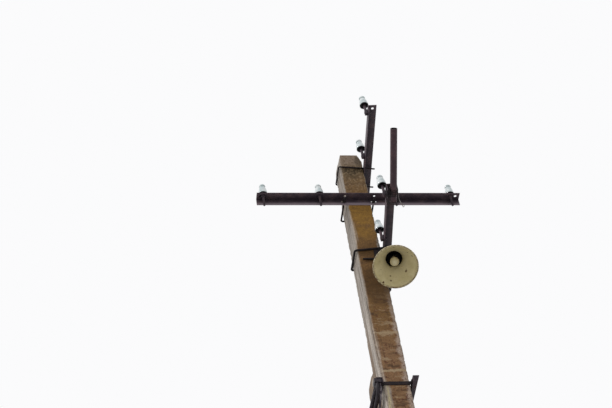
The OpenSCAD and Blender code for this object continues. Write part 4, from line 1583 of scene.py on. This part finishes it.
@dataclass
class Arms(SubAssembly):
    """The crossarm, the two side arms, their U-bolts and the lashing."""

    crossarm_z: float = 8.499
    bolt_bar: float = 0.013
    bolt_drop: float = 0.68 * ANGLE.leg
    bolt_x: float = -0.003
    bolt_play: float = 0.018
    bolt_tail: float = 0.050
    slack: float = 0.002
    upper: SideArmFit = SideArmFit(
        z=8.858, gap=0.0006, off=3.9, reach=0.585,
        bar=0.011, drop=ANGLE.thick + 0.011 * 1.1 + 0.0025, rise=-5.0, tail=0.075,
    )
    lower: SideArmFit = SideArmFit(
        z=8.033, gap=0.022, off=5.5, reach=0.560,
        bar=0.016, drop=0.79 * ANGLE.leg, rise=7.0, tail=0.035,
    )

    def crossarm_bolt(self, heel: float) -> BentBolt:
        """Gives the crossarm's U-bolt, bent round the pole's back.

        Args:
            heel: Y of the crossarm's upright leg, on the pole's front.

        Returns:
            The bolt.
        """
        z = self.crossarm_z - self.bolt_drop
        back = POLE.back_y(z) + self.slack + self.bolt_bar / 2
        face = back - (heel - ANGLE.thick)
        span = 2 * (POLE.side_x(POLE.back_y(0)) + SEAT) + self.bolt_bar + self.bolt_play
        at = shift(self.bolt_x, back, z) @ turn("Z", 90)
        seats = (face + SEAT, face + SEAT)
        return BentBolt(
            self.finish, "crossarm_u_bolt", at, self.bolt_bar, span, seats, self.bolt_tail - SEAT
        )

    def build(self) -> None:
        """Builds everything on the three arms."""
        heel = POLE.front_y(self.crossarm_z) - SEAT - ANGLE.leg * POLE.taper / 2
        left = -POLE.side_x(POLE.back_y(self.lower.z))
        across = shift(-ANGLE.length / 2, heel, self.crossarm_z)
        for part in (
            Crossarm(self.finish, "crossarm", across),
            SideArm(self.finish, "upper_arm", self.upper.frame),
            SideArm(self.finish, "lower_arm", self.lower.frame, PinOrder.FROM_END),
            self.crossarm_bolt(heel),
            self.upper.bolt(self.finish, "upper_arm_u_bolt", left),
            self.lower.bolt(self.finish, "lower_arm_u_bolt", left),
            Lashing(self.finish, self.lower.frame),
        ):
            part.build()


@dataclass
class Lashing(SubAssembly):
    """Tie wire round the lower arm's end and the old bracket pipe.

    Attributes:
        arm: the lower arm's frame.
        places: where its turns lie along the arm.
        gauge: the pipe's middle, measured from the arm's heel.
        rise: degrees that the pipe rises.
        lean: how far a turn leans along the arm.
        loose: points of the loose end, listed from the pipe's outer side.
    """

    arm: Matrix
    places: tuple[float, ...] = (0.006, 0.018, 0.030, 0.042, 0.083, 0.095)
    wire: float = 0.004
    pipe: float = 0.046
    gauge: float = 0.72 * ANGLE.leg
    rise: float = 22.8
    lean: float = 0.004
    corner: float = 0.006
    loose: tuple[Point, ...] = (
        (0.034, -0.004, -0.012), (0.038, -0.005, -0.045), (0.040, -0.002, -0.085),
        (0.042, -0.003, -0.124), (0.042, -0.011, -0.160), (0.043, -0.018, -0.192),
        (0.044, -0.024, -0.186), (0.044, -0.024, -0.160),
    )

    def build(self) -> None:
        """Builds the turns, each a rounded loop with a lean, and the loose end."""
        shape = Shape()
        wide = self.gauge + self.pipe / 2 + 4 * SEAT
        rise = math.radians(self.rise)
        half = self.wire / 2
        for place in self.places:
            x = place + half
            deep = ANGLE.thick + self.pipe / math.cos(rise) + (x + half) * math.tan(rise)
            low = -max(ANGLE.leg, deep) - 2 * SEAT - half
            corners = [
                Vector((x, half, half)), Vector((x + self.lean * 0.3, -wide - half, half)),
                Vector((x + self.lean, -wide - half, low)), Vector((x + self.lean * 0.7, half, low)),
            ]
            loop = rounded(corners, self.corner)
            shape.sweep([self.arm @ p for p in loop], half, 10, closed=True)
        loose = [self.arm @ Vector((x, y - wide, z)) for x, y, z in self.loose]
        shape.sweep(smooth_path(loose, 6), half, 8, slot=1)
        looks = [self.finish.black_steel, self.finish.zinc]
        shape.piece("pipe_lashing_wire", looks, "pipe_lashing")


# Lamp.


@dataclass
class StreetLamp(SubAssembly):
    """A pressed-steel cone shade under a cast housing, with socket and bulb.

    Attributes:
        rim: outer radius of the rim.
        depth: height of the shade.
        neck: radius of the shade's top.
        belly: how far the sheet bulges halfway up.
        liner_top: height of the housing's inside above the neck.
        boss_up: height of the pipe's boss above the neck.
        socket_low: height of the socket's lower end above the neck.
        bulb_drop: how far the bulb's middle hangs below the neck.
        pipe_turn: degrees that the pipe's boss is turned about the lamp's axis.
    """

    rim: float = 0.153
    depth: float = 0.166
    neck: float = 0.0535
    sheet: float = 0.0025
    belly: float = 0.0012
    bead: float = 0.004
    housing: float = 0.104
    wall: float = 0.005
    # Thickness of the black liner, which paints soot and shade inside the housing.
    soot: float = 0.0006
    liner_top: float = 0.068
    boss_up: float = 0.060
    socket: float = 0.044
    socket_low: float = 0.010
    bulb: float = 0.062
    bulb_drop: float = 0.062
    cap: float = 0.026
    cap_thread: float = 0.004
    pipe: float = 0.042
    pipe_turn: float = 20.8

    def build(self) -> None:
        """Builds the shade, the housing, the socket and the bulb."""
        self.shade()
        self.head()
        self.lampholder()
        self.blown_bulb()

    def shade(self) -> None:
        """Builds the shade, its sheet slightly bellied and its rim rolled outward."""
        across = self.sheet / math.cos(math.atan2(self.rim - self.neck, self.depth))
        foot = self.rim - self.bead
        inner, outer = [], []
        steps = 14
        for k in range(steps + 1):
            t = k / steps
            r = foot + (self.neck - foot) * t + self.belly * math.sin(math.pi * t)
            z = self.bead + (self.depth - self.bead) * t
            # The last tenth of the sheet turns up to the neck.
            turned = max(0, t - 0.9) * 10
            outer.append((r + across * turned, z))
            inner.append((r - across * (1 - turned), z))
        roll = []
        for k in range(11):
            angle = math.radians(180 + 300 * k / 10)
            roll.append((foot + self.bead * math.cos(angle), self.bead + self.bead * math.sin(angle)))
        shape = Shape()
        shape.lathe(LAMP.at, roll + outer + list(reversed(inner)), 96)
        shape.piece("shade_enamelled", [self.finish.enamel], "lamp_shade")

    def head(self) -> None:
        """Builds the housing: a casting in enamel, a black liner of soot and painted shade, and the pipe's
        boss.
        """
        shape = Shape()
        r = self.neck + 0.008
        low, top, inner_top = self.depth + SEAT, self.depth + self.housing, self.depth + self.liner_top
        bore, skin = r - self.wall, self.soot
        outline = [(0.0, inner_top + skin), (bore + skin, inner_top + skin), (bore + skin, low)]
        outline += [(r + 0.002, low), (r + 0.002, low + 0.006), (r, low + 0.008)]
        outline += [(r, top - 0.036), (r - 0.003, top - 0.03)]
        outline += [(r - 0.008, top - 0.016), (r * 0.78, top - 0.007), (r * 0.5, top - 0.002), (0.0, top)]
        shape.lathe(LAMP.at, outline, 64)
        # Black liner: soot, and painted shade in the housing's deep bore.
        liner = [(0.0, inner_top), (bore, inner_top), (bore, low + skin), (bore + skin, low + skin)]
        liner += [(bore + skin, inner_top + skin), (0.0, inner_top + skin)]
        shape.lathe(LAMP.at, liner, 64, slot=1)
        boss = LAMP.at @ shift(0, 0, self.depth + self.boss_up) @ turn("Z", self.pipe_turn) @ turn("Y", 90)
        wide, hole = self.pipe / 2 + 0.007, self.pipe / 2 + SEAT
        start, end = r - 0.012, r + 0.026
        collar = [(hole, start), (wide, start), (wide, end - 0.004), (wide - 0.003, end), (hole, end)]
        shape.lathe(boss, collar, 48)
        for side in (60, 240):
            screw = boss @ shift(0, 0, r + 0.014) @ turn("Z", side) @ turn("Y", 90)
            shape.hex_nut(screw @ shift(0, 0, wide - 0.001), 0.008, 0.007)
        looks = [self.finish.enamel, self.finish.soot]
        shape.piece("housing_cast", looks, "lamp_housing")

    def lampholder(self) -> None:
        """Builds the socket, with a groove round it near its mouth."""
        low, high = self.depth + self.socket_low, self.depth + self.liner_top - SEAT
        r, bore = self.socket / 2, self.cap / 2 + SEAT
        outline = [(bore, low), (r - 0.003, low), (r - 0.001, low + 0.002), (r - 0.001, low + 0.012)]
        outline += [(r - 0.003, low + 0.014), (r, low + 0.018)]
        outline += [(r, high - 0.004), (r - 0.002, high), (bore, high)]
        shape = Shape()
        shape.lathe(LAMP.at, outline, 48)
        shape.piece("lampholder_moulded", [self.finish.soot], "lamp_socket")

    def blown_bulb(self) -> None:
        """Builds the bulb with its screwed cap."""
        centre, big, neck = self.depth - self.bulb_drop, self.bulb / 2, self.depth
        outline = [(0.0, centre - big)]
        for k in range(1, 17):
            angle = math.radians(-90 + 128 * k / 16)
            outline.append((big * math.cos(angle), centre + big * math.sin(angle)))
        outline += [(big * 0.62, centre + big * 0.88), (big * 0.54, centre + big * 1.15)]
        outline += [(0.0145, neck - 0.008), (0.0140, neck + 0.002)]
        crest = self.cap / 2 - 0.0001
        for k in range(6):
            z = neck + 0.003 + self.cap_thread * k
            outline += [(crest, z), (crest - 0.0007, z + self.cap_thread / 2)]
        outline += [(0.010, neck + 0.0275), (0.004, neck + 0.0285), (0.0, neck + 0.0285)]
        shape = Shape()
        shape.lathe(LAMP.at, outline, 48)
        shape.piece("bulb_blown", [self.finish.glass], "lamp_bulb")


# Cables.


@dataclass
class Cables(SubAssembly):
    """The four cables from the yoke down the strut.

    Attributes:
        strut: the strut that they run down.
        shares: each cable's place across the strut's left face, -1 at the front and 1 at the back.
        landings: height at which each one comes to the strut.
        clips: heights of the clips that hold them there, and the ground.
        laid_mm: points listed from the clamp to the strut, in millimetres.
    """

    strut: RakingStrut
    diameters: tuple[float, ...] = (0.026, 0.015, 0.022, 0.013)
    shares: tuple[float, ...] = (0.5, 0.1, -0.25, -0.6)
    landings: tuple[float, ...] = (6.420, 6.440, 6.440, 6.420)
    clips: tuple[float, ...] = (6.200, 5.000, 3.500, 2.000, 0.800, 0.0)
    laid_mm: tuple[tuple[Point, ...], ...] = (
        (
            (-131, -93, 6752), (-131, -93, 6728), (-140, -62, 6716),
            (-150, 30, 6696), (-157, 180, 6652), (-156, 330, 6578),
        ),
        (
            (-109, -91, 6752), (-109, -91, 6728), (-116, -60, 6710),
            (-122, 30, 6686), (-128, 170, 6634), (-134, 340, 6548),
        ),
        (
            (-129, -119, 6752), (-129, -119, 6712), (-131, -94, 6685),
            (-137, 20, 6655), (-140, 150, 6590), (-136, 270, 6517),
        ),
        (
            (-110, -112, 6752), (-110, -112, 6714), (-110, -84, 6684),
            (-111, 20, 6645), (-111, 130, 6575), (-114, 240, 6497),
        ),
    )

    def on_strut(self, z: float, share: float, off: float) -> Vector:
        """Gives a point beside the strut's left face.

        Args:
            z: the height.
            share: place across the face, -1 at the front and 1 at the back.
            off: distance from the face.

        Returns:
            The point.
        """
        half_w, half_d = self.strut.halves(z)
        return self.strut.centre(z) + self.strut.along * half_d * share - self.strut.side * (half_w + off)

    def build(self) -> None:
        """Builds the cables, black and grey by turns."""
        black, grey = ("black_plastic", self.finish.black), ("grey_plastic", self.finish.grey)
        for i, (slot, look) in enumerate((black, grey, black, grey)):
            radius = self.diameters[i] / 2
            points = [Vector(p) * MM for p in self.laid_mm[i]]
            for z in (self.landings[i], *self.clips):
                points.append(self.on_strut(z, self.shares[i], radius + 2 * SEAT))
            shape = Shape()
            shape.sweep(smooth_path(points, 9), radius, 14)
            shape.piece(f"cable_{i + 1}_sheathed", [look], f"down_cable_{i + 1}")


# What stays the CAD's own.


@dataclass
class CadNodes(SubAssembly):
    """CAD nodes whose shape is already right and which only get their finish."""

    nodes: dict[str, bpy.types.Object]

    def build(self) -> None:
        """Gives each kept node its material."""
        finish = self.finish
        dark = ("lower_arm_packing", "lamp_pipe_clamps", "anchor_clamp", "anchor_bail", "yoke_front_strap")
        kept = (
            (finish.steel, ("crossarm", "upper_arm", "lower_arm", "yoke_bar_right", "yoke_bar_left")),
            (finish.tube, ("spare_pipe", "lamp_pipe")),
            (finish.black_steel, dark),
            (finish.zinc, ("yoke_back_rod", "cable_clips")),
            (finish.black, ("cable_clamp",)),
        )
        for material, names in kept:
            for name in names:
                mesh = self.nodes[name].data
                mesh.materials.clear()
                mesh.materials.append(material)
                log.info("%s: CAD shape, %s", name, material.name)


# Studio.


@dataclass
class Studio:
    """Camera, lamps, floor and backdrop.

    Attributes:
        focal_px: focal length of the fitted camera, in pixels of the photograph.
        width_px: the photograph's width.
        yaw: degrees that the camera is turned right of +Y.
        pitch: degrees that it looks up.
        roll: degrees that it is rolled.
        eye: where it stands.
        suns: name, strength, degrees of spread and heading of each lamp.
    """

    focal_px: float = 1330.88
    width_px: float = 612.0
    sensor_mm: float = 36.0
    yaw: float = 12.33
    pitch: float = 47.63
    roll: float = -9.16
    eye: tuple[float, float, float] = (-1.7411, -6.2952, 1.4785)
    suns: tuple[tuple[str, float, float, Point], ...] = (
        ("key", 1.15, 12.0, (0.83, 0.30, -0.62)),
        ("fill", 0.35, 30.0, (-0.45, -0.8, -0.25)),
    )
    sky: str = "#f4f6fa"
    sky_strength: float = 0.72
    paper: str = "#fbfbfc"
    floor_colour: str = "#dcdcda"
    floor_half: float = 150.0
    floor_drop: float = 0.002

    def camera(self) -> None:
        """Places the camera that was fitted to the photograph."""
        yaw, pitch, roll = (math.radians(v) for v in (self.yaw, self.pitch, self.roll))
        forward = Vector((math.sin(yaw) * math.cos(pitch), math.cos(yaw) * math.cos(pitch), math.sin(pitch)))
        right = Vector((math.cos(yaw), -math.sin(yaw), 0))
        above = right.cross(forward)
        across = right * math.cos(roll) + above * math.sin(roll)
        upward = above * math.cos(roll) - right * math.sin(roll)
        data = bpy.data.cameras.new("camera")
        data.sensor_width = self.sensor_mm
        data.lens = self.focal_px / self.width_px * self.sensor_mm
        data.clip_start, data.clip_end = 0.1, 200.0
        camera = bpy.data.objects.new("camera", data)
        axes = Matrix((across, upward, -forward)).transposed().to_4x4()
        camera.matrix_world = Matrix.Translation(self.eye) @ axes
        bpy.context.scene.collection.objects.link(camera)
        bpy.context.scene.camera = camera

    def lamps(self) -> None:
        """Adds a low soft sun from the left and a weak one from behind on the right."""
        for name, strength, spread, heading in self.suns:
            data = bpy.data.lights.new(name, "SUN")
            data.energy = strength
            data.angle = math.radians(spread)
            lamp = bpy.data.objects.new(name, data)
            lamp.rotation_mode = "QUATERNION"
            lamp.rotation_quaternion = Vector(heading).to_track_quat("-Z", "Y")
            lamp.location = (0, 0, 12)
            bpy.context.scene.collection.objects.link(lamp)

    def backdrop(self) -> None:
        """Makes the world's soft light, and the plain pale backdrop that is seen in its place."""
        world = bpy.data.worlds.new("studio")
        bpy.context.scene.world = world
        world.use_nodes = True
        tree = world.node_tree
        tree.nodes.clear()
        ray = add(tree, "LightPath").outputs
        seen = ray["Is Camera Ray"]
        for other in ("Is Glossy Ray", "Is Transmission Ray"):
            seen = add(tree, "Math", {0: seen, 1: ray[other]}, operation="MAXIMUM").outputs[0]
        soft = add(tree, "Background", {"Color": linear(self.sky), "Strength": self.sky_strength})
        pale = add(tree, "Background", {"Color": linear(self.paper), "Strength": 1.0})
        mixed = add(tree, "MixShader", {0: seen, 1: soft.outputs[0], 2: pale.outputs[0]})
        add(tree, "OutputWorld", {"Surface": mixed.outputs[0]})

    def floor(self) -> None:
        """Lays the floor, a hair below the ground level."""
        half = self.floor_half
        corners = [(-half, -half, 0), (half, -half, 0), (half, half, 0), (-half, half, 0)]
        mesh = bpy.data.meshes.new("floor")
        mesh.from_pydata(corners, [], [(0, 1, 2, 3)])
        material = bpy.data.materials.new("floor_paper")
        material.use_nodes = True
        shader = material.node_tree.nodes["Principled BSDF"]
        shader.inputs["Base Color"].default_value = linear(self.floor_colour)
        shader.inputs["Roughness"].default_value = 0.9
        mesh.materials.append(material)
        floor = bpy.data.objects.new("floor", mesh)
        bpy.context.scene.collection.objects.link(floor)
        floor.location.z = -self.floor_drop

    def build(self) -> None:
        """Sets up the studio."""
        self.camera()
        self.lamps()
        self.backdrop()
        self.floor()
        bpy.context.scene.view_settings.view_transform = "Standard"


def main() -> None:
    """Builds every sub-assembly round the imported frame."""
    logging.basicConfig(level=logging.INFO, format="%(name)s: %(message)s")
    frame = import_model()
    Studio().build()
    finish = Finishes()
    strut = RakingStrut(finish)
    parts: list[SubAssembly] = [
        CadNodes(finish, frame["nodes"]),
        Shaft(finish), strut, Arms(finish), StreetLamp(finish), Cables(finish, strut),
    ]
    for part in parts:
        part.build()


if __name__ == "__main__":
    main()
